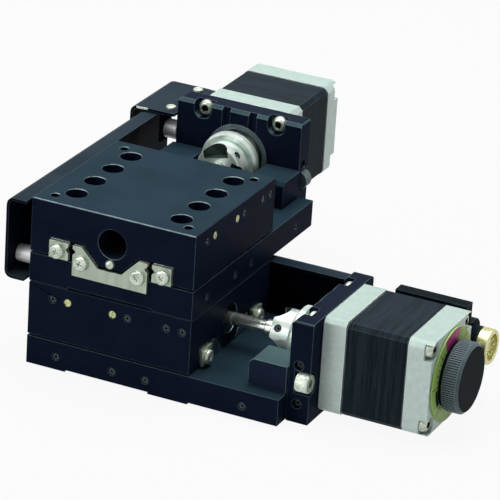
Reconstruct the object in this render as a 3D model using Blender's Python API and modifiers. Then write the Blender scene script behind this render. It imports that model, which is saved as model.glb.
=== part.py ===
"""Motorised xy translation stage: two equal crossed roller units stacked at right angles.

Each unit is a base, a table that slides on four rails with two roller cages, a lead screw with its
nut, a coupling, a stepping motor with a hand knob on its rear shaft end, and a side cover. The lower
unit travels along X and carries the upper one, which travels along Y and also has a cover beside its
motor bracket.

A unit is drawn in its own frame: x runs along the travel from the middle of the table towards the
motor, y across it towards the side cover, and z up from the underside. All lengths are in metres.
"""
import math
from dataclasses import dataclass

import bmesh
import bpy
from mathutils import Matrix

# Clearances and working values
SEAT_GAP = 0.0003
SLIDE_GAP = 0.0008
SHAFT_GAP = 0.0003
ROLLER_PLAY = 0.0001
CUT_OVERRUN = 0.002
WELD_DISTANCE = 0.000001

# Table and base, the sizes that everything else follows
TABLE_WIDTH = 0.070
BASE_LENGTH = 0.108
AXIS_HEIGHT = 0.023
AXIS_OVER_BASE = 0.0113
TABLE_TOP_OVER_AXIS = 0.012
PAD_WIDTH = 0.017
PAD_HEIGHT = 0.0008
TRIM_EDGE = 0.0004

# Holes in the top of the table
TOP_HOLE_PITCH = 0.015
TOP_HOLE_ROWS = 4
TOP_HOLE_SPREAD = 0.045
TOP_HOLE_RADIUS = 0.00225
TOP_SINK_RADIUS = 0.0043
TOP_SINK_DEPTH = 0.0046
CORNER_HOLE_INSET = 0.0065
CORNER_HOLE_RADIUS = 0.0018
CORNER_HOLE_DEPTH = 0.006

# Underside of the table
RAIL_POCKET_HEIGHT = 0.0077
KEEL_HALF_WIDTH = 0.0047
KEEL_CLEARANCE = 0.0012
KEEL_RISE = 0.0073
KEEL_FLARE = 0.0072
BORE_RADIUS = 0.006

# Crossed roller guides
ROLLER_DIAMETER = 0.003
ROLLER_LENGTH = 0.0028
ROLLER_PITCH = 0.0045
ROLLER_COUNT = 11
RAIL_SPACING = 0.0019
GROOVE_OVER_BASE = 0.0052
OUTER_RAIL_WIDTH = 0.0083
INNER_RAIL_FACE = 0.016
INNER_RAIL_HEIGHT = 0.0078
INNER_RAIL_TOE = 0.0009
INNER_RAIL_SIDE_GAP = 0.0008
CAGE_THICKNESS = 0.0012
CAGE_HEIGHT = 0.005
CAGE_MARGIN = 0.002

# End plates of the guides
PLATE_THICKNESS = 0.0012
RETAINER_DROP = 0.0047
RETAINER_NOTCH_GAP = 0.0007
STOP_TOP_DROP = 0.0003

# Lead screw and nut
SCREW_RADIUS = 0.003
SCREW_INSIDE = 0.037
JOURNAL_RADIUS = 0.0035
JOURNAL_LENGTH = 0.0045
NUT_LENGTH = 0.014
NUT_RECESS = 0.004

# Block beside the coupling
BLOCK_LENGTH = 0.016
BLOCK_HALF_WIDTH = 0.0287
TROUGH_HALF_WIDTH = 0.014
BLOCK_CHAMFER = 0.0017

# Coupling
COUPLING_REACH = 0.0015
HUB_RADIUS = 0.0095
HUB_LENGTH = 0.0085
NECK_RADIUS = 0.0068
NECK_LENGTH = 0.001
DISC_RADIUS = 0.0125
DISC_LENGTH = 0.007
TAIL_RADIUS = 0.0087
TAIL_LENGTH = 0.005
COUPLING_AIR = 0.0005
JAW_COUNT = 3
JAW_SLOT_WIDTH = 0.0055
JAW_SLOT_DEPTH = 0.0042

# Motor bracket
BRACKET_HALF_WIDTH = 0.0277
BRACKET_BOTTOM = 0.0006
BRACKET_OVER_AXIS = 0.0194
BRACKET_THICKNESS = 0.0093
BRACKET_CORNER = 0.0018
BRACKET_CHAMFER = 0.0013
OPENING_RADIUS = 0.0115
GROOVE_CUT_WIDTH = 0.0035
GROOVE_CUT_OFFSET = 0.0059
GROOVE_CUT_DEPTH = 0.0015
MOTOR_SCREW_SPREAD = 0.0328
MOTOR_SINK_RADIUS = 0.0039
MOTOR_SINK_DEPTH = 0.0045
FLANK_SINK_OFFSET = 0.0266
FLANK_SINK_DROP = 0.0056
FLANK_SINK_RADIUS = 0.0047
FLANK_SINK_DEPTH = 0.0065
FLANK_HOLE_RADIUS = 0.0019
FLANK_HOLE_DEPTH = 0.006
FLANK_HOLE_SETBACK = 0.0037
LOW_FLANK_HOLE_DROP = 0.0146
HIGH_FLANK_HOLE_RISE = 0.0013

# Motor
MOTOR_WIDTH = 0.039
MOTOR_CHAMFER = 0.00175
PILOT_RADIUS = 0.0109
PILOT_HEIGHT = 0.0018
FLANGE_LENGTH = 0.0097
BODY_LENGTH = 0.025
BODY_INSET = 0.0003
REAR_CAP_LENGTH = 0.0102
CAP_POCKET_WIDTH = 0.007
CAP_POCKET_DEPTH = 0.0029
MOTOR_SHAFT_RADIUS = 0.0025

# Dial plate and knob behind the motor
DIAL_OUTER_RADIUS = 0.0186
DIAL_INNER_RADIUS = 0.013
DIAL_THICKNESS = 0.0006
KNOB_RADIUS = 0.014
KNOB_WIDTH = 0.0068
KNOB_HUB_RADIUS = 0.0125
KNOB_HUB_LENGTH = 0.0023
KNOB_FACE_THICKNESS = 0.003
KNOB_CHAMFER = 0.0011
KNURL_COUNT = 64
KNURL_DEPTH = 0.0005

# Connector on the side of the motor
CONNECTOR_LENGTH = 0.03
CONNECTOR_SETBACK = 0.0025
CONNECTOR_LIP_WIDTH = 0.0054
CONNECTOR_WIDTH = 0.016
CONNECTOR_HEIGHT = 0.018
CONNECTOR_CORNER = 0.006
LOWER_CONNECTOR_RISE = 0.0015
UPPER_CONNECTOR_DROP = 0.006
CONNECTOR_NECK_LENGTH = 0.0035
SHELL_RADIUS = 0.0071
SHELL_SOCKET_RADIUS = 0.0052
SHELL_LENGTH = 0.0052
SHELL_CHAMFER = 0.0004
SHELL_SOCKET_DEPTH = 0.004

# Side cover, rear cover and the spacers that hold them
SHEET_THICKNESS = 0.0012
SHEET_BEND = 0.003
COVER_FRONT_OVERHANG = 0.0035
COVER_REAR_GAP = 0.0023
COVER_DEPTH = 0.0092
COVER_SIDE_GAP = 0.0006
COVER_BOTTOM = 0.0004
COVER_TOP_DROP = 0.0012
FRONT_SPACER_RADIUS = 0.0035
FRONT_SPACER_INSET = 0.0055
FRONT_SPACER_RISE = 0.0029
REAR_SPACER_RADIUS = 0.004
REAR_SPACER_LENGTH = 0.0058
REAR_SPACER_RISE = 0.0035
REAR_SPACER_SETBACK = 0.0038
REAR_COVER_DROP = 0.011
REAR_TAB_HALF_WIDTH = 0.0045
REAR_TAB_DROP = 0.0015
REAR_COVER_SETBACK = 0.002
REAR_COVER_LENGTH = 0.0338
REAR_COVER_STEP = 0.0037
REAR_COVER_RISE = 0.0005
REAR_SHELF_GAP = 0.0007
REAR_SHELF_TRIM = 0.0001

# Sides given to the round shapes
ROUND_SIDES = 32
SHAFT_SIDES = 16
HOLE_SIDES = 12
ROLLER_SIDES = 8
BEND_STEPS = 3

# Places that follow from the sizes above
TABLE_HALF = TABLE_WIDTH / 2
UNIT_HEIGHT = AXIS_HEIGHT + TABLE_TOP_OVER_AXIS
BASE_HEIGHT = AXIS_HEIGHT - AXIS_OVER_BASE
TABLE_TOP = UNIT_HEIGHT - SEAT_GAP
TABLE_BOTTOM = BASE_HEIGHT + SLIDE_GAP
POCKET_CEILING = TABLE_BOTTOM + RAIL_POCKET_HEIGHT
KEEL_BOTTOM = BASE_HEIGHT + KEEL_CLEARANCE
BASE_END = BASE_LENGTH - TABLE_HALF
RAIL_BOTTOM = BASE_HEIGHT + SEAT_GAP
GROOVE_HEIGHT = BASE_HEIGHT + GROOVE_OVER_BASE
INNER_RAIL_TOP = BASE_HEIGHT + INNER_RAIL_HEIGHT
RETAINER_BOTTOM = BASE_HEIGHT - RETAINER_DROP
OUTER_RAIL_FACE = INNER_RAIL_FACE + RAIL_SPACING
OUTER_RAIL_BACK = OUTER_RAIL_FACE + OUTER_RAIL_WIDTH
GROOVE_DEPTH = ((ROLLER_DIAMETER + 2 * ROLLER_PLAY) * math.sqrt(2) - RAIL_SPACING) / 2
PLATE_START = TABLE_HALF + SEAT_GAP
PLATE_END = PLATE_START + PLATE_THICKNESS
BLOCK_START = BASE_END - BLOCK_LENGTH
BLOCK_TOP = AXIS_HEIGHT
COUPLING_START = BLOCK_START - COUPLING_REACH
HUB_END = COUPLING_START + HUB_LENGTH
DISC_START = HUB_END + NECK_LENGTH
DISC_END = DISC_START + DISC_LENGTH
TAIL_END = DISC_END + TAIL_LENGTH
BRACKET_FRONT = BASE_END + SEAT_GAP
BRACKET_BACK = BASE_END + BRACKET_THICKNESS
BRACKET_TOP = AXIS_HEIGHT + BRACKET_OVER_AXIS
MOTOR_HALF = MOTOR_WIDTH / 2
FLANGE_START = BRACKET_BACK + SEAT_GAP
FLANGE_END = BRACKET_BACK + FLANGE_LENGTH
BODY_START = FLANGE_END + SEAT_GAP
BODY_END = FLANGE_END + BODY_LENGTH
CAP_START = BODY_END + SEAT_GAP
CAP_END = BODY_END + REAR_CAP_LENGTH
KNOB_START = CAP_END + SEAT_GAP
KNOB_BACK = CAP_END + KNOB_HUB_LENGTH
KNOB_END = KNOB_BACK + KNOB_WIDTH
SHAFT_END = KNOB_END - KNOB_FACE_THICKNESS - SEAT_GAP
CONNECTOR_END = CAP_END - CONNECTOR_SETBACK
CONNECTOR_SIDE = MOTOR_HALF + SEAT_GAP
COVER_WALL = TABLE_HALF + COVER_DEPTH
COVER_START = -TABLE_HALF - COVER_FRONT_OVERHANG
COVER_END = BASE_END - COVER_REAR_GAP
COVER_TOP = UNIT_HEIGHT - COVER_TOP_DROP
REAR_COVER_START = BASE_END - REAR_COVER_SETBACK
REAR_COVER_END = REAR_COVER_START + REAR_COVER_LENGTH
REAR_COVER_WALL = COVER_WALL + REAR_COVER_STEP
REAR_COVER_TOP = UNIT_HEIGHT + REAR_COVER_RISE


@dataclass
class Unit:
    """One axis: its name prefix, its empties and what differs between the two axes."""
    prefix: str
    fixed: bpy.types.Object
    carriage: bpy.types.Object
    cages: bpy.types.Object
    shaft: bpy.types.Object
    rear_cover: bool
    connector_rise: float
    connector_up: int


# Colour, metallic share and roughness of each material
MATERIAL_LOOKS = {
    "black anodised aluminium": ((0.022, 0.028, 0.034), 0.6, 0.42),
    "black sheet metal": ((0.014, 0.016, 0.02), 0.4, 0.38),
    "cast aluminium": ((0.62, 0.66, 0.63), 0.9, 0.4),
    "motor laminations": ((0.03, 0.034, 0.038), 0.5, 0.5),
    "stainless plate": ((0.6, 0.63, 0.56), 1.0, 0.32),
    "ground steel": ((0.42, 0.43, 0.44), 1.0, 0.25),
    "polished steel": ((0.72, 0.74, 0.72), 1.0, 0.16),
    "brass": ((0.68, 0.55, 0.3), 1.0, 0.3),
    "bronze": ((0.5, 0.33, 0.16), 1.0, 0.35),
    "black plastic": ((0.016, 0.017, 0.018), 0.0, 0.45),
    "white plastic": ((0.85, 0.86, 0.84), 0.0, 0.4),
    "yellow printed plate": ((0.62, 0.66, 0.2), 0.0, 0.5),
}


def clear_scene():
    for item in list(bpy.data.objects):
        bpy.data.objects.remove(item, do_unlink=True)


def make_collection(name):
    collection = bpy.data.collections.new(name)
    bpy.context.scene.collection.children.link(collection)
    return collection


def make_material(name, look):
    color, metallic, roughness = look
    material = bpy.data.materials.new(name)
    material.use_nodes = True
    shader = material.node_tree.nodes["Principled BSDF"]
    shader.inputs["Base Color"].default_value = (*color, 1)
    shader.inputs["Metallic"].default_value = metallic
    shader.inputs["Roughness"].default_value = roughness
    material.diffuse_color = (*color, 1)
    return material


clear_scene()
PARTS = make_collection("xy translation stage")
CUTTERS = make_collection("cutters and guides")
MATERIALS = {name: make_material(name, look) for name, look in MATERIAL_LOOKS.items()}


# Shape helpers: each gives an object drawn in the unit's frame

def tidy_mesh(mesh):
    """Weld a mesh and turn its faces outwards."""
    work = bmesh.new()
    work.from_mesh(mesh)
    bmesh.ops.remove_doubles(work, verts=work.verts, dist=WELD_DISTANCE)
    bmesh.ops.recalc_face_normals(work, faces=work.faces)
    work.to_mesh(mesh)
    work.free()


def box(name, low, high):
    """A box between two corners."""
    mesh = bpy.data.meshes.new(name)
    work = bmesh.new()
    bmesh.ops.create_cube(work, size=1)
    size = [top - bottom for bottom, top in zip(low, high)]
    middle = [(top + bottom) / 2 for bottom, top in zip(low, high)]
    bmesh.ops.scale(work, verts=work.verts, vec=size)
    bmesh.ops.translate(work, verts=work.verts, vec=middle)
    work.to_mesh(mesh)
    work.free()
    return bpy.data.objects.new(name, mesh)


def rod(name, radius, low, high, axis, sides=HOLE_SIDES):
    """A straight round bar between two points that lie along one axis."""
    turn = {
        "x": Matrix.Rotation(math.pi / 2, 4, "Y"),
        "y": Matrix.Rotation(-math.pi / 2, 4, "X"),
        "z": Matrix.Identity(4),
    }[axis]
    middle = [(top + bottom) / 2 for bottom, top in zip(low, high)]
    depth = math.dist(low, high)
    mesh = bpy.data.meshes.new(name)
    work = bmesh.new()
    bmesh.ops.create_cone(
        work,
        cap_ends=True,
        segments=sides,
        radius1=radius,
        radius2=radius,
        depth=depth,
        matrix=Matrix.Translation(middle) @ turn,
    )
    work.to_mesh(mesh)
    work.free()
    mesh.shade_smooth()
    mesh.set_sharp_from_angle(angle=math.radians(40))
    return bpy.data.objects.new(name, mesh)


def extruded(name, loops, start, end, axis="x"):
    """A flat outline drawn in (y, z), or in (x, z) for the y axis, and pulled along the axis."""
    turn = {
        "x": Matrix(((0, 0, 1, 0), (1, 0, 0, 0), (0, 1, 0, 0), (0, 0, 0, 1))),
        "y": Matrix(((1, 0, 0, 0), (0, 0, -1, 0), (0, 1, 0, 0), (0, 0, 0, 1))),
    }[axis]
    middle = (start + end) / 2
    shift = (middle, 0, 0) if axis == "x" else (0, middle, 0)
    curve = bpy.data.curves.new(name, "CURVE")
    curve.dimensions = "2D"
    curve.fill_mode = "BOTH"
    curve.extrude = (end - start) / 2
    for loop in loops:
        spline = curve.splines.new("POLY")
        spline.points.add(len(loop) - 1)
        for point, (across, up) in zip(spline.points, loop):
            point.co = (across, up, 0, 1)
        spline.use_cyclic_u = True
    drawing = bpy.data.objects.new(name + "_drawing", curve)
    CUTTERS.objects.link(drawing)
    bpy.context.view_layer.update()
    evaluated = drawing.evaluated_get(bpy.context.evaluated_depsgraph_get())
    mesh = bpy.data.meshes.new_from_object(evaluated)
    bpy.data.objects.remove(drawing, do_unlink=True)
    mesh.transform(Matrix.Translation(shift) @ turn)
    tidy_mesh(mesh)
    return bpy.data.objects.new(name, mesh)


def turned(name, profile, sides=ROUND_SIDES, closed=False):
    """A lathe shape about the x axis from (station, radius) points, outer side from rear to front."""
    mesh = bpy.data.meshes.new(name)
    work = bmesh.new()
    points = [work.verts.new((radius, 0, station)) for station, radius in profile]
    for first, second in zip(points, points[1:]):
        work.edges.new((first, second))
    if closed:
        work.edges.new((points[-1], points[0]))
    work.to_mesh(mesh)
    work.free()
    item = bpy.data.objects.new(name, mesh)
    item.rotation_euler = (0, math.pi / 2, 0)
    lathe = item.modifiers.new("lathe", "SCREW")
    lathe.axis = "Z"
    lathe.steps = sides
    lathe.render_steps = sides
    lathe.use_merge_vertices = True
    lathe.merge_threshold = WELD_DISTANCE
    return item


def circle(center, radius, sides=ROUND_SIDES):
    """Points of a circle in an outline."""
    turns = [math.tau * index / sides for index in range(sides)]
    return [(center[0] + radius * math.cos(turn), center[1] + radius * math.sin(turn)) for turn in turns]


def corner_arc(center, radius, first_degree, last_degree, steps=BEND_STEPS):
    """Points of a rounded corner in an outline."""
    degrees = [first_degree + (last_degree - first_degree) * index / steps for index in range(steps + 1)]
    return [
        (
            center[0] + radius * math.cos(math.radians(degree)),
            center[1] + radius * math.sin(math.radians(degree)),
        )
        for degree in degrees
    ]


def bent_sheet(name, path, start, end):
    """Sheet metal bent along a path in (y, z), its thickness on the inner side of the bends."""
    mesh = bpy.data.meshes.new(name)
    work = bmesh.new()
    points = [work.verts.new((start, across, up)) for across, up in path]
    edges = [work.edges.new(pair) for pair in zip(points, points[1:])]
    pulled = bmesh.ops.extrude_edge_only(work, edges=edges)["geom"]
    moved = [item for item in pulled if isinstance(item, bmesh.types.BMVert)]
    bmesh.ops.translate(work, verts=moved, vec=(end - start, 0, 0))
    work.edges.ensure_lookup_table()
    bends = [edge for edge in work.edges if len(edge.link_faces) == 2]
    bmesh.ops.bevel(
        work,
        geom=bends,
        offset=SHEET_BEND,
        offset_type="OFFSET",
        segments=BEND_STEPS,
        profile=0.5,
        affect="EDGES",
    )
    bmesh.ops.recalc_face_normals(work, faces=work.faces)
    work.to_mesh(mesh)
    work.free()
    item = bpy.data.objects.new(name, mesh)
    wall = item.modifiers.new("wall", "SOLIDIFY")
    wall.thickness = SHEET_THICKNESS
    wall.offset = -1
    wall.use_even_offset = True
    return item


def bevel_edges(item, wanted, width):
    """Chamfer the edges whose two ends both pass a test."""
    work = bmesh.new()
    work.from_mesh(item.data)
    edges = [edge for edge in work.edges if all(wanted(vert.co) for vert in edge.verts)]
    bmesh.ops.bevel(
        work,
        geom=edges,
        offset=width,
        offset_type="OFFSET",
        segments=1,
        profile=0.5,
        affect="EDGES",
    )
    work.to_mesh(item.data)
    work.free()


def taper_end(item, end, length, radius):
    """Lengthen a round piece on the x axis past one end, narrowing like a chamfer."""
    work = bmesh.new()
    work.from_mesh(item.data)
    faces = [face for face in work.faces if all(abs(vert.co.x - end) < WELD_DISTANCE for vert in face.verts)]
    pulled = bmesh.ops.extrude_face_region(work, geom=faces)["geom"]
    moved = [part for part in pulled if isinstance(part, bmesh.types.BMVert)]
    narrowing = 1 - length / radius
    bmesh.ops.scale(work, verts=moved, vec=(1, narrowing, narrowing))
    bmesh.ops.translate(work, verts=moved, vec=(length, 0, 0))
    bmesh.ops.delete(work, geom=[face for face in faces if face.is_valid], context="FACES")
    bmesh.ops.recalc_face_normals(work, faces=work.faces)
    work.to_mesh(item.data)
    work.free()


def combine(item, other, operation="DIFFERENCE"):
    """Cut an object with another, or join the other to it."""
    other.hide_render = True
    other.display_type = "WIRE"
    CUTTERS.objects.link(other)
    other.parent = item.parent
    step = item.modifiers.new(other.name, "BOOLEAN")
    step.operation = operation
    step.solver = "EXACT"
    step.object = other


def add_piece(unit, name, item, material, parent):
    """Give a finished object its node name, its material and its place in the assembly."""
    item.name = f"{unit.prefix}_{name}"
    item.data.name = item.name
    item.data.materials.append(MATERIALS[material])
    item.parent = parent
    PARTS.objects.link(item)
    return item


def mirrored(outline):
    """The same outline on the other side of the screw axis."""
    return [(-across, up) for across, up in reversed(outline)]


def groove_points(face, depth):
    """The three points of a rail groove, from its lower lip to its upper lip."""
    reach = abs(depth)
    return [(face, GROOVE_HEIGHT - reach), (face + depth, GROOVE_HEIGHT), (face, GROOVE_HEIGHT + reach)]


# Fixed pieces of a unit

def make_base(unit):
    base = box(
        "base",
        (-TABLE_HALF, -TABLE_HALF, 0),
        (BASE_END, TABLE_HALF, BASE_HEIGHT),
    )
    base = add_piece(unit, "base", base, "black anodised aluminium", unit.fixed)
    inner = TABLE_HALF - PAD_WIDTH
    far = BASE_END + CUT_OVERRUN
    side = TABLE_HALF + CUT_OVERRUN
    reliefs = {
        "relief_across": ((-inner, -side, -CUT_OVERRUN), (inner, side, PAD_HEIGHT)),
        "relief_along": ((-side, -inner, -CUT_OVERRUN), (far, inner, PAD_HEIGHT)),
        "relief_behind": ((TABLE_HALF, -side, -CUT_OVERRUN), (far, side, PAD_HEIGHT)),
    }
    for name, (low, high) in reliefs.items():
        combine(base, box(f"{unit.prefix}_{name}", low, high))
    pocket_floor = AXIS_HEIGHT - DISC_RADIUS - COUPLING_AIR
    pocket = box(
        f"{unit.prefix}_coupling_pocket",
        (HUB_END, -TROUGH_HALF_WIDTH, pocket_floor),
        (far, TROUGH_HALF_WIDTH, BASE_HEIGHT + CUT_OVERRUN),
    )
    combine(base, pocket)


def make_block(unit):
    trough_floor = AXIS_HEIGHT - HUB_RADIUS - COUPLING_AIR
    bottom = BASE_HEIGHT + SEAT_GAP
    outline = [
        (-BLOCK_HALF_WIDTH, bottom),
        (BLOCK_HALF_WIDTH, bottom),
        (BLOCK_HALF_WIDTH, BLOCK_TOP),
        (TROUGH_HALF_WIDTH, BLOCK_TOP),
        (TROUGH_HALF_WIDTH, trough_floor),
        (-TROUGH_HALF_WIDTH, trough_floor),
        (-TROUGH_HALF_WIDTH, BLOCK_TOP),
        (-BLOCK_HALF_WIDTH, BLOCK_TOP),
    ]
    block = extruded("coupling_block", [outline], BLOCK_START, BASE_END)
    bevel_edges(
        block,
        lambda place: abs(place.x - BLOCK_START) < WELD_DISTANCE and abs(place.z - BLOCK_TOP) < WELD_DISTANCE,
        BLOCK_CHAMFER,
    )
    block = add_piece(unit, "coupling_block", block, "black anodised aluminium", unit.fixed)
    opening = box(
        f"{unit.prefix}_trough_opening",
        (HUB_END, -TROUGH_HALF_WIDTH, bottom - CUT_OVERRUN),
        (BASE_END + CUT_OVERRUN, TROUGH_HALF_WIDTH, trough_floor + CUT_OVERRUN),
    )
    combine(block, opening)


def make_bracket(unit):
    corner_y = BRACKET_HALF_WIDTH - BRACKET_CORNER
    corner_z = BRACKET_TOP - BRACKET_CORNER
    outline = [(-BRACKET_HALF_WIDTH, BRACKET_BOTTOM), (BRACKET_HALF_WIDTH, BRACKET_BOTTOM)]
    outline += corner_arc((corner_y, corner_z), BRACKET_CORNER, 0, 90)
    outline += corner_arc((-corner_y, corner_z), BRACKET_CORNER, 90, 180)
    opening = circle((0, AXIS_HEIGHT), OPENING_RADIUS)
    bracket = extruded("motor_bracket", [outline, opening], BRACKET_FRONT, BRACKET_BACK)
    bracket = add_piece(unit, "motor_bracket", bracket, "black anodised aluminium", unit.fixed)

    top = BRACKET_TOP + CUT_OVERRUN
    front = BRACKET_FRONT - CUT_OVERRUN
    side = BRACKET_HALF_WIDTH + CUT_OVERRUN
    chamfer = [
        (front, BRACKET_TOP - BRACKET_CHAMFER - CUT_OVERRUN),
        (BRACKET_FRONT + BRACKET_CHAMFER + CUT_OVERRUN, top),
        (front, top),
    ]
    combine(bracket, extruded(f"{unit.prefix}_bracket_chamfer", [chamfer], -side, side, axis="y"))
    for hand in (-1, 1):
        tag = f"{unit.prefix}_{'left' if hand < 0 else 'right'}"
        groove = sorted(
            (
                hand * (GROOVE_CUT_OFFSET - GROOVE_CUT_WIDTH / 2),
                hand * (GROOVE_CUT_OFFSET + GROOVE_CUT_WIDTH / 2),
            )
        )
        screw_y = hand * MOTOR_SCREW_SPREAD / 2
        screw_z = AXIS_HEIGHT + MOTOR_SCREW_SPREAD / 2
        sink_end = BRACKET_FRONT + MOTOR_SINK_DEPTH
        flank_z = AXIS_HEIGHT - FLANK_SINK_DROP
        combine(
            bracket,
            box(
                f"{tag}_groove",
                (front, groove[0], AXIS_HEIGHT),
                (BRACKET_FRONT + GROOVE_CUT_DEPTH, groove[1], top),
            ),
        )
        combine(
            bracket,
            rod(
                f"{tag}_screw_sink",
                MOTOR_SINK_RADIUS,
                (front, screw_y, screw_z),
                (sink_end, screw_y, screw_z),
                "x",
                HOLE_SIDES,
            ),
        )
        combine(
            bracket,
            box(
                f"{tag}_screw_slot",
                (front, screw_y - MOTOR_SINK_RADIUS, screw_z),
                (sink_end, screw_y + MOTOR_SINK_RADIUS, top),
            ),
        )
        combine(
            bracket,
            rod(
                f"{tag}_flank_sink",
                FLANK_SINK_RADIUS,
                (BRACKET_BACK - FLANK_SINK_DEPTH, hand * FLANK_SINK_OFFSET, flank_z),
                (BRACKET_BACK + CUT_OVERRUN, hand * FLANK_SINK_OFFSET, flank_z),
                "x",
                HOLE_SIDES,
            ),
        )
    hole_x = BRACKET_FRONT + FLANK_HOLE_SETBACK
    hole_heights = (AXIS_HEIGHT - LOW_FLANK_HOLE_DROP, AXIS_HEIGHT + HIGH_FLANK_HOLE_RISE)
    for index, height in enumerate(hole_heights):
        combine(
            bracket,
            rod(
                f"{unit.prefix}_flank_hole_{index}",
                FLANK_HOLE_RADIUS,
                (hole_x, -side, height),
                (hole_x, -BRACKET_HALF_WIDTH + FLANK_HOLE_DEPTH, height),
                "y",
                HOLE_SIDES,
            ),
        )


def motor_outline(half):
    """The motor's square section with its corners cut."""
    near = half - MOTOR_CHAMFER
    return [
        (-near, AXIS_HEIGHT - half),
        (near, AXIS_HEIGHT - half),
        (half, AXIS_HEIGHT - near),
        (half, AXIS_HEIGHT + near),
        (near, AXIS_HEIGHT + half),
        (-near, AXIS_HEIGHT + half),
        (-half, AXIS_HEIGHT + near),
        (-half, AXIS_HEIGHT - near),
    ]


def make_motor(unit):
    shaft_hole = circle((0, AXIS_HEIGHT), MOTOR_SHAFT_RADIUS + SHAFT_GAP, SHAFT_SIDES)
    flange = extruded("motor_flange", [motor_outline(MOTOR_HALF)], FLANGE_START, FLANGE_END)
    flange = add_piece(unit, "motor_flange", flange, "cast aluminium", unit.fixed)
    pilot_start = FLANGE_START - PILOT_HEIGHT
    pilot = rod(
        f"{unit.prefix}_pilot",
        PILOT_RADIUS,
        (pilot_start, 0, AXIS_HEIGHT),
        (FLANGE_START + SEAT_GAP, 0, AXIS_HEIGHT),
        "x",
        ROUND_SIDES,
    )
    combine(flange, pilot, "UNION")
    bore = rod(
        f"{unit.prefix}_flange_bore",
        MOTOR_SHAFT_RADIUS + SHAFT_GAP,
        (pilot_start - CUT_OVERRUN, 0, AXIS_HEIGHT),
        (FLANGE_END + CUT_OVERRUN, 0, AXIS_HEIGHT),
        "x",
        SHAFT_SIDES,
    )
    combine(flange, bore)

    section = motor_outline(MOTOR_HALF - BODY_INSET)
    body = extruded("motor_body", [section, shaft_hole], BODY_START, BODY_END)
    add_piece(unit, "motor_body", body, "motor laminations", unit.fixed)

    cap = extruded("motor_rear_cap", [motor_outline(MOTOR_HALF), shaft_hole], CAP_START, CAP_END)
    cap = add_piece(unit, "motor_rear_cap", cap, "cast aluminium", unit.fixed)
    near = MOTOR_HALF - CAP_POCKET_WIDTH
    far = MOTOR_HALF + CUT_OVERRUN
    for across in (-1, 1):
        for up in (-1, 1):
            side = sorted((across * near, across * far))
            height = sorted((AXIS_HEIGHT + up * near, AXIS_HEIGHT + up * far))
            pocket = box(
                f"{unit.prefix}_cap_pocket_{across + 1}{up + 1}",
                (CAP_END - CAP_POCKET_DEPTH, side[0], height[0]),
                (CAP_END + CUT_OVERRUN, side[1], height[1]),
            )
            combine(cap, pocket)

    dial_loops = [
        circle((0, AXIS_HEIGHT), DIAL_OUTER_RADIUS),
        circle((0, AXIS_HEIGHT), DIAL_INNER_RADIUS),
    ]
    dial = extruded("dial_plate", dial_loops, KNOB_START, KNOB_START + DIAL_THICKNESS)
    add_piece(unit, "dial_plate", dial, "yellow printed plate", unit.fixed)


def make_connector(unit):
    """The plastic housing on the motor's side and the round metal socket on its end."""
    def at(across, rise):
        return (across, AXIS_HEIGHT + unit.connector_up * rise)

    lip = CONNECTOR_SIDE + CONNECTOR_LIP_WIDTH
    outside = CONNECTOR_SIDE + CONNECTOR_WIDTH
    shoulder = unit.connector_rise + CONNECTOR_HEIGHT / 2
    bottom = unit.connector_rise - CONNECTOR_HEIGHT / 2
    corner = [
        at(across, rise)
        for across, rise in corner_arc(
            (outside - CONNECTOR_CORNER, shoulder - CONNECTOR_CORNER), CONNECTOR_CORNER, 90, 0
        )
    ]
    outline = [at(CONNECTOR_SIDE, MOTOR_HALF), at(lip, MOTOR_HALF), at(lip, shoulder)]
    outline += corner
    outline += [at(outside, bottom), at(CONNECTOR_SIDE, bottom)]
    housing = extruded("connector_housing", [outline], CONNECTOR_END - CONNECTOR_LENGTH, CONNECTOR_END)
    housing = add_piece(unit, "connector_housing", housing, "black plastic", unit.fixed)
    axis = at((CONNECTOR_SIDE + outside) / 2, unit.connector_rise)
    neck_end = CONNECTOR_END + CONNECTOR_NECK_LENGTH
    neck = rod(
        f"{unit.prefix}_connector_neck",
        SHELL_RADIUS,
        (CONNECTOR_END - CUT_OVERRUN, *axis),
        (neck_end, *axis),
        "x",
        SHAFT_SIDES,
    )
    combine(housing, neck, "UNION")

    profile = [
        (SHELL_LENGTH - SHELL_SOCKET_DEPTH, 0),
        (SHELL_LENGTH - SHELL_SOCKET_DEPTH, SHELL_SOCKET_RADIUS),
        (SHELL_LENGTH, SHELL_SOCKET_RADIUS),
        (SHELL_LENGTH, SHELL_RADIUS - SHELL_CHAMFER),
        (SHELL_LENGTH - SHELL_CHAMFER, SHELL_RADIUS),
        (SEAT_GAP, SHELL_RADIUS),
        (SEAT_GAP, 0),
    ]
    shell = turned("connector_shell", profile, SHAFT_SIDES)
    shell.location = (neck_end, *axis)
    add_piece(unit, "connector_shell", shell, "brass", unit.fixed)


def make_side_cover(unit):
    edge = TABLE_HALF + COVER_SIDE_GAP
    path = [(edge, COVER_BOTTOM), (COVER_WALL, COVER_BOTTOM), (COVER_WALL, COVER_TOP), (edge, COVER_TOP)]
    cover = bent_sheet("side_cover", path, COVER_START, COVER_END)
    add_piece(unit, "side_cover", cover, "black sheet metal", unit.fixed)

    spacer_x = -TABLE_HALF + FRONT_SPACER_INSET
    spacer_z = COVER_BOTTOM + SHEET_THICKNESS + FRONT_SPACER_RISE + FRONT_SPACER_RADIUS
    spacer = rod(
        "cover_spacer",
        FRONT_SPACER_RADIUS,
        (spacer_x, TABLE_HALF + SEAT_GAP, spacer_z),
        (spacer_x, COVER_WALL - SHEET_THICKNESS - SEAT_GAP, spacer_z),
        "y",
        SHAFT_SIDES,
    )
    add_piece(unit, "cover_spacer", spacer, "white plastic", unit.fixed)


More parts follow.
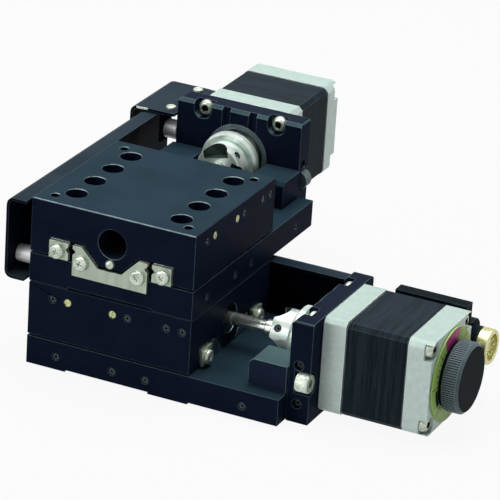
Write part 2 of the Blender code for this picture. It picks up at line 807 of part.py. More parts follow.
def make_rear_cover(unit):
    """The cover beside the bracket, with a shelf that closes in behind it towards the motor."""
    side = BRACKET_HALF_WIDTH + SEAT_GAP
    path = [
        (side, REAR_COVER_TOP),
        (REAR_COVER_WALL, REAR_COVER_TOP),
        (REAR_COVER_WALL, AXIS_HEIGHT - REAR_COVER_DROP),
    ]
    rear_cover = bent_sheet("rear_cover", path, REAR_COVER_START, REAR_COVER_END)
    rear_cover = add_piece(unit, "rear_cover", rear_cover, "black sheet metal", unit.fixed)
    shelf = box(
        f"{unit.prefix}_rear_cover_shelf",
        (FLANGE_START, MOTOR_HALF + REAR_SHELF_GAP, REAR_COVER_TOP - SHEET_THICKNESS + REAR_SHELF_TRIM),
        (REAR_COVER_END - REAR_SHELF_TRIM, side + SHEET_THICKNESS, REAR_COVER_TOP - REAR_SHELF_TRIM),
    )
    combine(rear_cover, shelf, "UNION")
    spacer_x = BRACKET_FRONT + REAR_SPACER_SETBACK
    spacer_z = AXIS_HEIGHT + REAR_SPACER_RISE
    spacer_end = side + REAR_SPACER_LENGTH
    tab_side = spacer_end + SEAT_GAP
    tab = box(
        f"{unit.prefix}_rear_cover_tab",
        (spacer_x - REAR_TAB_HALF_WIDTH, tab_side, AXIS_HEIGHT - REAR_TAB_DROP),
        (
            spacer_x + REAR_TAB_HALF_WIDTH,
            tab_side + SHEET_THICKNESS,
            REAR_COVER_TOP - SHEET_THICKNESS / 2,
        ),
    )
    combine(rear_cover, tab, "UNION")

    rear_spacer = rod(
        "rear_cover_spacer",
        REAR_SPACER_RADIUS,
        (spacer_x, side, spacer_z),
        (spacer_x, spacer_end, spacer_z),
        "y",
        SHAFT_SIDES,
    )
    add_piece(unit, "rear_cover_spacer", rear_spacer, "white plastic", unit.fixed)


def inner_rail_outline():
    """Section of an inner rail on the minus side, its slope parallel to the keel of the table."""
    slope = KEEL_FLARE / KEEL_RISE
    toe = RAIL_BOTTOM + INNER_RAIL_TOE
    toe_side = KEEL_HALF_WIDTH + INNER_RAIL_SIDE_GAP
    shoulder = toe_side + (INNER_RAIL_TOP - toe) * slope
    outline = [(-INNER_RAIL_FACE, RAIL_BOTTOM)]
    outline += groove_points(-INNER_RAIL_FACE, GROOVE_DEPTH)
    outline += [
        (-INNER_RAIL_FACE, INNER_RAIL_TOP),
        (-shoulder, INNER_RAIL_TOP),
        (-toe_side, toe),
        (-toe_side, RAIL_BOTTOM),
    ]
    return outline


def outer_rail_outline():
    """Section of an outer rail on the minus side, screwed under the table."""
    top = POCKET_CEILING - SEAT_GAP
    outline = [(-OUTER_RAIL_FACE, TABLE_BOTTOM)]
    outline += groove_points(-OUTER_RAIL_FACE, -GROOVE_DEPTH)
    outline += [
        (-OUTER_RAIL_FACE, top),
        (-OUTER_RAIL_BACK, top),
        (-OUTER_RAIL_BACK, TABLE_BOTTOM),
    ]
    return outline


def retainer_outline():
    """Section of the plate across the front of the inner rails, open for the keel and the rollers."""
    slope = KEEL_FLARE / KEEL_RISE
    notch_floor = KEEL_BOTTOM - RETAINER_NOTCH_GAP
    notch_foot = KEEL_HALF_WIDTH + SEAT_GAP
    notch_top = notch_foot + (INNER_RAIL_TOP - notch_floor) * slope
    left = [(-INNER_RAIL_FACE, RETAINER_BOTTOM)]
    left += groove_points(-INNER_RAIL_FACE, GROOVE_DEPTH)
    left += [
        (-INNER_RAIL_FACE, INNER_RAIL_TOP),
        (-notch_top, INNER_RAIL_TOP),
        (-notch_foot, notch_floor),
    ]
    return left + mirrored(left)


def stop_outline():
    """Section of the small plate on the end of an outer rail, on the minus side."""
    top = POCKET_CEILING - SEAT_GAP - STOP_TOP_DROP
    outline = [(-OUTER_RAIL_FACE, TABLE_BOTTOM)]
    outline += groove_points(-OUTER_RAIL_FACE, -GROOVE_DEPTH)
    outline += [(-OUTER_RAIL_FACE, top), (-OUTER_RAIL_BACK, top), (-OUTER_RAIL_BACK, TABLE_BOTTOM)]
    return outline


def make_inner_guides(unit):
    left = inner_rail_outline()
    for letter, outline in (("a", left), ("b", mirrored(left))):
        rail = extruded("inner_rail", [outline], -TABLE_HALF, TABLE_HALF)
        add_piece(unit, f"inner_rail_{letter}", rail, "ground steel", unit.fixed)
    retainer = extruded("front_retainer", [retainer_outline()], -PLATE_END, -PLATE_START)
    add_piece(unit, "front_retainer", retainer, "stainless plate", unit.fixed)


# Pieces that slide with the table

def make_table(unit):
    pocket_side = OUTER_RAIL_BACK + SEAT_GAP
    keel_top = KEEL_HALF_WIDTH + (POCKET_CEILING - KEEL_BOTTOM) * KEEL_FLARE / KEEL_RISE
    left = [
        (-KEEL_HALF_WIDTH, KEEL_BOTTOM),
        (-keel_top, POCKET_CEILING),
        (-pocket_side, POCKET_CEILING),
        (-pocket_side, TABLE_BOTTOM),
        (-TABLE_HALF, TABLE_BOTTOM),
        (-TABLE_HALF, TABLE_TOP),
    ]
    loops = [left + mirrored(left), circle((0, AXIS_HEIGHT), BORE_RADIUS)]
    table = extruded("table", loops, -TABLE_HALF, TABLE_HALF)
    bevel_edges(table, lambda place: abs(place.z - TABLE_TOP) < WELD_DISTANCE, TRIM_EDGE)
    table = add_piece(unit, "table", table, "black anodised aluminium", unit.carriage)

    above = TABLE_TOP + CUT_OVERRUN
    first = -TOP_HOLE_PITCH * (TOP_HOLE_ROWS - 1) / 2
    for row in range(TOP_HOLE_ROWS):
        along = first + row * TOP_HOLE_PITCH
        for hand in (-1, 1):
            across = hand * TOP_HOLE_SPREAD / 2
            tag = f"{unit.prefix}_top_{row}{hand + 1}"
            sink = rod(
                f"{tag}_sink",
                TOP_SINK_RADIUS,
                (along, across, TABLE_TOP - TOP_SINK_DEPTH),
                (along, across, above),
                "z",
            )
            hole = rod(
                f"{tag}_hole",
                TOP_HOLE_RADIUS,
                (along, across, POCKET_CEILING - CUT_OVERRUN),
                (along, across, above),
                "z",
            )
            combine(table, sink)
            combine(table, hole)
    for along in (-1, 1):
        for across in (-1, 1):
            x = along * (TABLE_HALF - CORNER_HOLE_INSET)
            y = across * (TABLE_HALF - CORNER_HOLE_INSET)
            hole = rod(
                f"{unit.prefix}_corner_{along + 1}{across + 1}",
                CORNER_HOLE_RADIUS,
                (x, y, TABLE_TOP - CORNER_HOLE_DEPTH),
                (x, y, above),
                "z",
            )
            combine(table, hole)


def make_table_guides(unit):
    left = outer_rail_outline()
    stop_left = stop_outline()
    for letter, outline, stop in (("a", left, stop_left), ("b", mirrored(left), mirrored(stop_left))):
        rail = extruded("outer_rail", [outline], -TABLE_HALF, TABLE_HALF)
        add_piece(unit, f"outer_rail_{letter}", rail, "ground steel", unit.carriage)
        for place, start, end in (
            ("front", -PLATE_END, -PLATE_START),
            ("rear", PLATE_START, PLATE_END),
        ):
            plate = extruded("rail_stop", [stop], start, end)
            add_piece(unit, f"{place}_rail_stop_{letter}", plate, "stainless plate", unit.carriage)


def make_nut(unit):
    start = TABLE_HALF - NUT_RECESS - NUT_LENGTH
    end = TABLE_HALF - NUT_RECESS
    loops = [
        circle((0, AXIS_HEIGHT), BORE_RADIUS - SEAT_GAP),
        circle((0, AXIS_HEIGHT), SCREW_RADIUS + SHAFT_GAP, SHAFT_SIDES),
    ]
    nut = extruded("lead_nut", loops, start, end)
    add_piece(unit, "lead_nut", nut, "bronze", unit.carriage)


def make_cages(unit):
    """A thin strip of crossed rollers between each inner and outer rail."""
    middle = INNER_RAIL_FACE + RAIL_SPACING / 2
    first = -ROLLER_PITCH * (ROLLER_COUNT - 1) / 2
    half_length = -first + ROLLER_DIAMETER / 2 + CAGE_MARGIN
    for letter, hand in (("a", -1), ("b", 1)):
        strip = box(
            "roller_cage",
            (-half_length, hand * middle - CAGE_THICKNESS / 2, GROOVE_HEIGHT - CAGE_HEIGHT / 2),
            (half_length, hand * middle + CAGE_THICKNESS / 2, GROOVE_HEIGHT + CAGE_HEIGHT / 2),
        )
        cage = add_piece(unit, f"roller_cage_{letter}", strip, "bronze", unit.cages)
        work = bmesh.new()
        for index in range(ROLLER_COUNT):
            tilt = math.pi / 4 if index % 2 else -math.pi / 4
            place = Matrix.Translation((first + index * ROLLER_PITCH, hand * middle, GROOVE_HEIGHT))
            bmesh.ops.create_cone(
                work,
                cap_ends=True,
                segments=ROLLER_SIDES,
                radius1=ROLLER_DIAMETER / 2,
                radius2=ROLLER_DIAMETER / 2,
                depth=ROLLER_LENGTH,
                matrix=place @ Matrix.Rotation(tilt, 4, "X"),
            )
        mesh = bpy.data.meshes.new("rollers")
        work.to_mesh(mesh)
        work.free()
        rollers = bpy.data.objects.new(f"{unit.prefix}_rollers_{letter}", mesh)
        combine(cage, rollers, "UNION")


# Pieces that turn about the screw axis, drawn from an empty on that axis

def make_lead_screw(unit):
    journal_end = COUPLING_START
    journal_start = journal_end - JOURNAL_LENGTH
    profile = [
        (HUB_END - SEAT_GAP, 0),
        (HUB_END - SEAT_GAP, SCREW_RADIUS),
        (journal_end, SCREW_RADIUS),
        (journal_end, JOURNAL_RADIUS),
        (journal_start, JOURNAL_RADIUS),
        (journal_start, SCREW_RADIUS),
        (TABLE_HALF - SCREW_INSIDE, SCREW_RADIUS),
        (TABLE_HALF - SCREW_INSIDE, 0),
    ]
    screw = turned("lead_screw", profile, SHAFT_SIDES)
    add_piece(unit, "lead_screw", screw, "polished steel", unit.shaft)


def make_coupling(unit):
    screw_hole = SCREW_RADIUS + SHAFT_GAP
    shaft_hole = MOTOR_SHAFT_RADIUS + SHAFT_GAP
    front = COUPLING_START + SEAT_GAP
    profile = [
        (TAIL_END, shaft_hole),
        (TAIL_END, TAIL_RADIUS),
        (DISC_END, TAIL_RADIUS),
        (DISC_END, DISC_RADIUS),
        (DISC_START, DISC_RADIUS),
        (DISC_START, NECK_RADIUS),
        (HUB_END, NECK_RADIUS),
        (HUB_END, HUB_RADIUS),
        (front, HUB_RADIUS),
        (front, screw_hole),
        (HUB_END, screw_hole),
        (HUB_END, shaft_hole),
    ]
    coupling = turned("coupling", profile, ROUND_SIDES, closed=True)
    coupling = add_piece(unit, "coupling", coupling, "polished steel", unit.shaft)
    reach = HUB_RADIUS + CUT_OVERRUN
    for index in range(JAW_COUNT):
        slot = box(
            f"{unit.prefix}_jaw_slot_{index}",
            (front - CUT_OVERRUN, -JAW_SLOT_WIDTH / 2, (screw_hole + HUB_RADIUS) / 2),
            (front + JAW_SLOT_DEPTH, JAW_SLOT_WIDTH / 2, reach),
        )
        slot.rotation_euler = (math.tau * index / JAW_COUNT, 0, 0)
        combine(coupling, slot)


def make_motor_shaft(unit):
    start = HUB_END + SEAT_GAP
    profile = [(SHAFT_END, 0), (SHAFT_END, MOTOR_SHAFT_RADIUS), (start, MOTOR_SHAFT_RADIUS), (start, 0)]
    shaft = turned("motor_shaft", profile, SHAFT_SIDES)
    add_piece(unit, "motor_shaft", shaft, "polished steel", unit.shaft)


def make_knob(unit):
    ridges = 2 * KNURL_COUNT
    rim = []
    for index in range(ridges):
        turn = math.tau * index / ridges
        radius = KNOB_RADIUS - (index % 2) * KNURL_DEPTH
        rim.append((radius * math.cos(turn), radius * math.sin(turn)))
    rim_end = KNOB_END - KNOB_CHAMFER
    knob = extruded("knob", [rim], KNOB_BACK, rim_end)
    taper_end(knob, rim_end, KNOB_CHAMFER, KNOB_RADIUS)
    knob = add_piece(unit, "knob", knob, "black plastic", unit.shaft)
    hub = rod(
        f"{unit.prefix}_knob_hub",
        KNOB_HUB_RADIUS,
        (KNOB_START, 0, 0),
        (KNOB_BACK + SEAT_GAP, 0, 0),
        "x",
        ROUND_SIDES,
    )
    combine(knob, hub, "UNION")
    bore = rod(
        f"{unit.prefix}_knob_bore",
        MOTOR_SHAFT_RADIUS + SHAFT_GAP,
        (KNOB_START - CUT_OVERRUN, 0, 0),
        (KNOB_END - KNOB_FACE_THICKNESS, 0, 0),
        "x",
        SHAFT_SIDES,
    )
    combine(knob, bore)


# Assembly

def make_empty(name, parent, location=(0, 0, 0), turn=0):
    empty = bpy.data.objects.new(name, None)
    empty.parent = parent
    empty.location = location
    empty.rotation_euler = (0, 0, turn)
    CUTTERS.objects.link(empty)
    return empty


def make_unit(prefix, parent, location, turn, rear_cover, connector_rise, connector_up):
    """Build one axis on its own empties and return it."""
    fixed = make_empty(f"{prefix}_unit", parent, location, turn)
    unit = Unit(
        prefix=prefix,
        fixed=fixed,
        carriage=make_empty(f"{prefix}_slide", fixed),
        cages=make_empty(f"{prefix}_cage_slide", fixed),
        shaft=make_empty(f"{prefix}_screw_axis", fixed, (0, 0, AXIS_HEIGHT)),
        rear_cover=rear_cover,
        connector_rise=connector_rise,
        connector_up=connector_up,
    )
    for make in (
        make_base,
        make_block,
        make_bracket,
        make_motor,
        make_connector,
        make_side_cover,
        make_inner_guides,
        make_table,
        make_table_guides,
        make_nut,
        make_cages,
        make_lead_screw,
        make_coupling,
        make_motor_shaft,
        make_knob,
    ):
        make(unit)
    if unit.rear_cover:
        make_rear_cover(unit)
    return unit


def main():
    """Stack the upper unit on the lower one, a quarter turn round, about the box's bottom centre."""
    middle = (-(KNOB_END - REAR_COVER_WALL) / 2, -(KNOB_END + COVER_START) / 2, 0)
    stage = make_empty("stage_middle", None, middle)
    lower = make_unit("x", stage, (0, 0, 0), 0, False, LOWER_CONNECTOR_RISE, 1)
    make_unit("y", lower.carriage, (0, 0, UNIT_HEIGHT), math.pi / 2, True, UPPER_CONNECTOR_DROP, -1)
    bpy.context.view_layer.update()


main()
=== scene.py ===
"""Looks of the motorised xy translation stage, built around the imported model.

Two equal units are stacked at right angles. A piece is modelled once, in millimetres in the unit's own
frame (x along the travel towards the motor, y towards the side cover, z up from the underside), and is
then copied to the lower unit "x" and the upper unit "y", each copy with its own mesh.
"""

import math

import bmesh
import bpy
from mathutils import Matrix, Vector


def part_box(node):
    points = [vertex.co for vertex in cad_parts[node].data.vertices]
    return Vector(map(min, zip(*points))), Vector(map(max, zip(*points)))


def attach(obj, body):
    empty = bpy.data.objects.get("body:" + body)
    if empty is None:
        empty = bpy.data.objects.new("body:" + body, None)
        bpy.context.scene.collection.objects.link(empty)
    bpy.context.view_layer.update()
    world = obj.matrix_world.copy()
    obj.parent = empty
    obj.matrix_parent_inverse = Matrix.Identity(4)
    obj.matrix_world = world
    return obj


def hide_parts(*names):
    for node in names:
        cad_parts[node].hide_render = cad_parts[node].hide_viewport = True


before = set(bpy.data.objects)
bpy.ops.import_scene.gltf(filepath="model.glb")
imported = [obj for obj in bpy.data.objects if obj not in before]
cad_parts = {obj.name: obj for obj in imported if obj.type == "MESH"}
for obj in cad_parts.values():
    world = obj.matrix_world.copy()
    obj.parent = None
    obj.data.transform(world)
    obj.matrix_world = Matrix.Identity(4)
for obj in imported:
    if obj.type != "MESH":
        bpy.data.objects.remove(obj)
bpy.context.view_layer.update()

MM = 0.001
ROUND = 64
SMALL_ROUND = 36
SMOOTH_ANGLE = math.radians(36)
EDGE_ANGLE = math.radians(38)
FLAT_ANGLE = math.radians(1)
WELD = 0.004 * MM
CUT = 1  # how far a cutter runs past the face that it opens, in millimetres
HANDS = (-1, 1)  # the minus and the plus side of a unit

# Heights and stations of a unit, in millimetres
AXIS = 23
UNIT_HEIGHT = 35
TABLE_HALF = 35
TABLE_TOP = 34.7
PLATE_FACE = 36.5
BRACKET_FRONT = 73.3
BRACKET_BACK = 82.3
BRACKET_HALF = 27.7
CAP_START = 117.3
CAP_END = 127.2
CAP_HALF = 19.5
DIAL_FACE = 128.1
COVER_WALL = 44.2
REAR_COVER_TOP = 35.5

# Which body of the model a group of pieces rides on, for each unit
BODIES = {
    "fixed": {"x": "base", "y": "x_carriage"},
    "carriage": {"x": "x_carriage", "y": "y_carriage"},
    "shaft": {"x": "x_screw", "y": "y_screw"},
    "cages": {"x": "x_cages", "y": "y_cages"},
}

table_low, table_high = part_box("x_table")
stage_middle = Vector(((table_low.x + table_high.x) / 2, (table_low.y + table_high.y) / 2, 0))
PLACES = {
    "x": Matrix.Translation(stage_middle),
    "y": Matrix.Translation(stage_middle + Vector((0, 0, UNIT_HEIGHT * MM)))
    @ Matrix.Rotation(math.pi / 2, 4, "Z"),
}


# Working on meshes the way it is done by hand

def mm(values):
    return Vector(values) * MM


def start_on(piece):
    """Make a piece the only one selected."""
    bpy.ops.object.select_all(action="DESELECT")
    piece.select_set(True)
    bpy.context.view_layer.objects.active = piece


def edit(piece):
    start_on(piece)
    bpy.ops.object.mode_set(mode="EDIT")


def leave_edit():
    bpy.ops.object.mode_set(mode="OBJECT")


def pick_faces(piece, test):
    """In edit mode, select only the faces whose middle and normal pass the test."""
    bpy.ops.mesh.select_mode(type="FACE")
    bpy.ops.mesh.select_all(action="DESELECT")
    work = bmesh.from_edit_mesh(piece.data)
    for face in work.faces:
        if test(face.calc_center_median() / MM, face.normal):
            face.select_set(True)
    bmesh.update_edit_mesh(piece.data)


def settle():
    """Write the place of the active piece into its mesh."""
    bpy.ops.object.transform_apply(location=True, rotation=True, scale=True)


def block(low, high):
    """A box between two corners."""
    bpy.ops.object.select_all(action="DESELECT")
    low, high = mm(low), mm(high)
    bpy.ops.mesh.primitive_cube_add(size=1, location=(low + high) / 2, scale=high - low)
    settle()
    return bpy.context.object


def bar(start, end, radius, sides=SMALL_ROUND):
    """A round bar from one point to another."""
    bpy.ops.object.select_all(action="DESELECT")
    start, end = mm(start), mm(end)
    turn = (end - start).to_track_quat("Z", "Y").to_euler()
    bpy.ops.mesh.primitive_cylinder_add(
        vertices=sides,
        radius=radius * MM,
        depth=(end - start).length,
        location=(start + end) / 2,
        rotation=turn,
    )
    settle()
    return bpy.context.object


def turned(stations, across=0, height=AXIS, sides=ROUND):
    """A solid turned about a line along x: a disc drawn out and widened from station to station."""
    bpy.ops.object.select_all(action="DESELECT")
    (start, radius), *others = stations
    bpy.ops.mesh.primitive_circle_add(
        vertices=sides,
        radius=radius * MM,
        fill_type="NGON",
        location=mm((start, across, height)),
        rotation=(0, math.pi / 2, 0),
    )
    settle()
    piece = bpy.context.object
    edit(piece)
    bpy.ops.mesh.select_all(action="SELECT")
    for station, wider in others:
        step = mm((station - start, 0, 0))
        bpy.ops.mesh.extrude_region_move(TRANSFORM_OT_translate={"value": step})
        bpy.ops.transform.resize(
            value=(1, wider / radius, wider / radius),
            center_override=mm((station, across, height)),
        )
        start, radius = station, wider
    bpy.ops.mesh.select_all(action="SELECT")
    bpy.ops.mesh.remove_doubles(threshold=WELD)
    bpy.ops.mesh.normals_make_consistent(inside=False)
    leave_edit()
    return piece


def finish_step(piece, kind, **settings):
    """Add one modifier and apply it."""
    start_on(piece)
    step = piece.modifiers.new(kind.lower(), kind)
    for key, value in settings.items():
        setattr(step, key, value)
    bpy.ops.object.modifier_apply(modifier=step.name)


def carve(piece, cutters, operation="DIFFERENCE"):
    """Cut shapes out of a piece, or join them to it, and clear them away."""
    for cutter in cutters:
        finish_step(piece, "BOOLEAN", operation=operation, solver="EXACT", object=cutter)
        bpy.data.objects.remove(cutter, do_unlink=True)
    return piece


def soften(piece, width, segments=2, clamp=True):
    """Round the sharp edges a little and shade the rest smooth."""
    edit(piece)
    bpy.ops.mesh.select_all(action="SELECT")
    bpy.ops.mesh.remove_doubles(threshold=WELD)
    bpy.ops.mesh.dissolve_limited(angle_limit=FLAT_ANGLE)
    leave_edit()
    if width:
        finish_step(
            piece,
            "BEVEL",
            width=width * MM,
            segments=segments,
            limit_method="ANGLE",
            angle_limit=EDGE_ANGLE,
            use_clamp_overlap=clamp,
        )
    start_on(piece)
    bpy.ops.object.shade_smooth_by_angle(angle=SMOOTH_ANGLE)
    finish_step(piece, "WEIGHTED_NORMAL", keep_sharp=True, weight=100)
    return piece


def copy_of_node(node, unit="x"):
    """A copy of a unit's node, back in the unit's own frame."""
    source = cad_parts[f"{unit}_{node}"]
    piece = source.copy()
    piece.data = source.data.copy()
    piece.parent = None
    for key in list(piece.keys()):
        del piece[key]
    bpy.context.scene.collection.objects.link(piece)
    piece.matrix_world = PLACES[unit].inverted()
    start_on(piece)
    settle()
    if piece.data.has_custom_normals:
        bpy.ops.mesh.customdata_custom_splitnormals_clear()
    return piece


def hand_over(piece, name, group, slot, look=None, units="xy", nodes=()):
    """Copy a piece from the unit's frame to each unit, attach it to its body and hide the nodes it
    replaces.
    """
    for unit in units:
        copy = piece.copy()
        copy.data = piece.data.copy()
        bpy.context.scene.collection.objects.link(copy)
        copy.name = f"{unit}_{name}"
        copy.data.name = copy.name
        copy.matrix_world = PLACES[unit]
        start_on(copy)
        settle()
        if look != "own":
            copy.data.materials.clear()
            copy.data.materials.append(look_for(look or slot, unit))
        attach(copy, BODIES[group][unit])
        if nodes:
            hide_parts(*[f"{unit}_{node}" for node in nodes])
    bpy.data.objects.remove(piece, do_unlink=True)


def drive(source, name, group, spots, direction, slot, look=None, units="xy"):
    """Put a copy of a screw, modelled upright at the origin, at each spot.

    Each one is turned a little further about itself than the one before.
    """
    turn = Vector(direction).to_track_quat("Z", "Y").to_matrix().to_4x4()
    for index, spot in enumerate(spots, 1):
        screw = source.copy()
        screw.data = source.data.copy()
        bpy.context.scene.collection.objects.link(screw)
        twist = Matrix.Rotation(index * SCREW_TWIST, 4, "Z")
        screw.matrix_world = Matrix.Translation(mm(spot)) @ turn @ twist
        start_on(screw)
        settle()
        hand_over(screw, f"{name}_{index}", group, slot, look, units)


# Finishes

def add_node(tree, kind, **sockets):
    """A shader node with values on some of its inputs."""
    node = tree.nodes.new(kind)
    for key, value in sockets.items():
        node.inputs[key].default_value = value
    return node


def remap(tree, source, start, end, low, high):
    """The source's value, stretched from the range start to end to the range low to high."""
    node = add_node(tree, "ShaderNodeMapRange")
    for key, value in zip(("From Min", "From Max", "To Min", "To Max"), (start, end, low, high)):
        node.inputs[key].default_value = value
    tree.links.new(source, node.inputs["Value"])
    return node.outputs["Result"]


def make_finish(
    name, dark, light, metallic, rough, patch, grain, bump,
    speck=0.3, stretch=(1, 1, 1), wear_and_highlight=None, reach=0.25, shine=0.5, top=None,
):
    """A surface with patches of tone and gloss and a fine grain in relief.

    Dark and light end the range of tones, and rough is the range of roughness. Patch and grain are the
    scales of two noises, speck is the grain's share in the tone, and stretch scales both along each
    axis. Bump is the depth of the relief in millimetres. Wear is the tone of edges, reach millimetres
    wide: partly rubbed wear, partly painted highlight. Top multiplies the tone of faces that look up:
    painted light that lightens the tops of the black finishes, painted shade that darkens the top of
    the cast aluminium.
    """
    look = bpy.data.materials.new(name)
    look.use_nodes = True
    tree = look.node_tree
    shader = tree.nodes["Principled BSDF"]
    shader.inputs["Metallic"].default_value = metallic
    shader.inputs["Specular IOR Level"].default_value = shine

    coordinates = add_node(tree, "ShaderNodeTexCoord")
    mapping = add_node(tree, "ShaderNodeMapping", Scale=stretch)
    tree.links.new(coordinates.outputs["Object"], mapping.inputs["Vector"])
    patches = add_node(tree, "ShaderNodeTexNoise", Scale=patch, Detail=4)
    grains = add_node(tree, "ShaderNodeTexNoise", Scale=grain, Detail=2)
    for noise in (patches, grains):
        tree.links.new(mapping.outputs["Vector"], noise.inputs["Vector"])
    both = add_node(tree, "ShaderNodeMix", Factor=speck)
    tree.links.new(patches.outputs["Fac"], both.inputs["A"])
    tree.links.new(grains.outputs["Fac"], both.inputs["B"])
    tone = add_node(tree, "ShaderNodeValToRGB")
    for end, position, color in zip(tone.color_ramp.elements, (0.36, 0.64), (dark, light)):
        end.position = position
        end.color = (*color, 1)
    tree.links.new(both.outputs["Result"], tone.inputs["Fac"])
    gloss = remap(tree, both.outputs["Result"], 0.3, 0.7, *rough)
    tree.links.new(gloss, shader.inputs["Roughness"])
    relief = add_node(tree, "ShaderNodeBump", Strength=1, Distance=bump * MM)
    tree.links.new(grains.outputs["Fac"], relief.inputs["Height"])
    tree.links.new(relief.outputs["Normal"], shader.inputs["Normal"])
    color = tone.outputs["Color"]
    # Faces that look up get painted top light, and painted shade on the cast aluminium
    if top:
        color = paint_top_shading(tree, color, coordinates.outputs["Normal"], top)
    # Edges get a lighter tone: partly rubbed wear, partly painted highlight
    if wear_and_highlight:
        color = paint_edge_wear_and_highlight(tree, color, grains.outputs["Fac"], wear_and_highlight, reach)
    tree.links.new(color, shader.inputs["Base Color"])
    return look


def paint_top_shading(tree, color, normal, top):
    """Multiply the tone where the surface looks up: painted light where top is above one, painted
    shade where it is below.
    """
    parts = add_node(tree, "ShaderNodeSeparateXYZ")
    tree.links.new(normal, parts.inputs[0])
    share = remap(tree, parts.outputs["Z"], 0.35, 0.85, 0, 1)
    lifted = add_node(tree, "ShaderNodeVectorMath")
    lifted.operation = "MULTIPLY"
    tree.links.new(color, lifted.inputs[0])
    lifted.inputs[1].default_value = top
    mixed = add_node(tree, "ShaderNodeMix")
    mixed.data_type = "RGBA"
    tree.links.new(share, mixed.inputs["Factor"])
    tree.links.new(color, mixed.inputs["A"])
    tree.links.new(lifted.outputs["Vector"], mixed.inputs["B"])
    return mixed.outputs["Result"]


def paint_edge_wear_and_highlight(tree, color, grain, wear_and_highlight, reach):
    """Mix a lighter tone into edges, broken by the grain: part rubbed wear, part painted highlight."""
    rounded = add_node(tree, "ShaderNodeBevel", Radius=reach * MM)
    rounded.samples = 6
    geometry = add_node(tree, "ShaderNodeNewGeometry")
    lean = add_node(tree, "ShaderNodeVectorMath")
    lean.operation = "DOT_PRODUCT"
    tree.links.new(rounded.outputs["Normal"], lean.inputs[0])
    tree.links.new(geometry.outputs["Normal"], lean.inputs[1])
    broken = add_node(tree, "ShaderNodeMath")
    broken.operation = "MULTIPLY"
    tree.links.new(remap(tree, lean.outputs["Value"], 0.995, 0.95, 0, 1.7), broken.inputs[0])
    tree.links.new(grain, broken.inputs[1])
    mixed = add_node(tree, "ShaderNodeMix")
    mixed.data_type = "RGBA"
    mixed.inputs["B"].default_value = (*wear_and_highlight, 1)
    tree.links.new(broken.outputs["Value"], mixed.inputs["Factor"])
    tree.links.new(color, mixed.inputs["A"])
    return mixed.outputs["Result"]
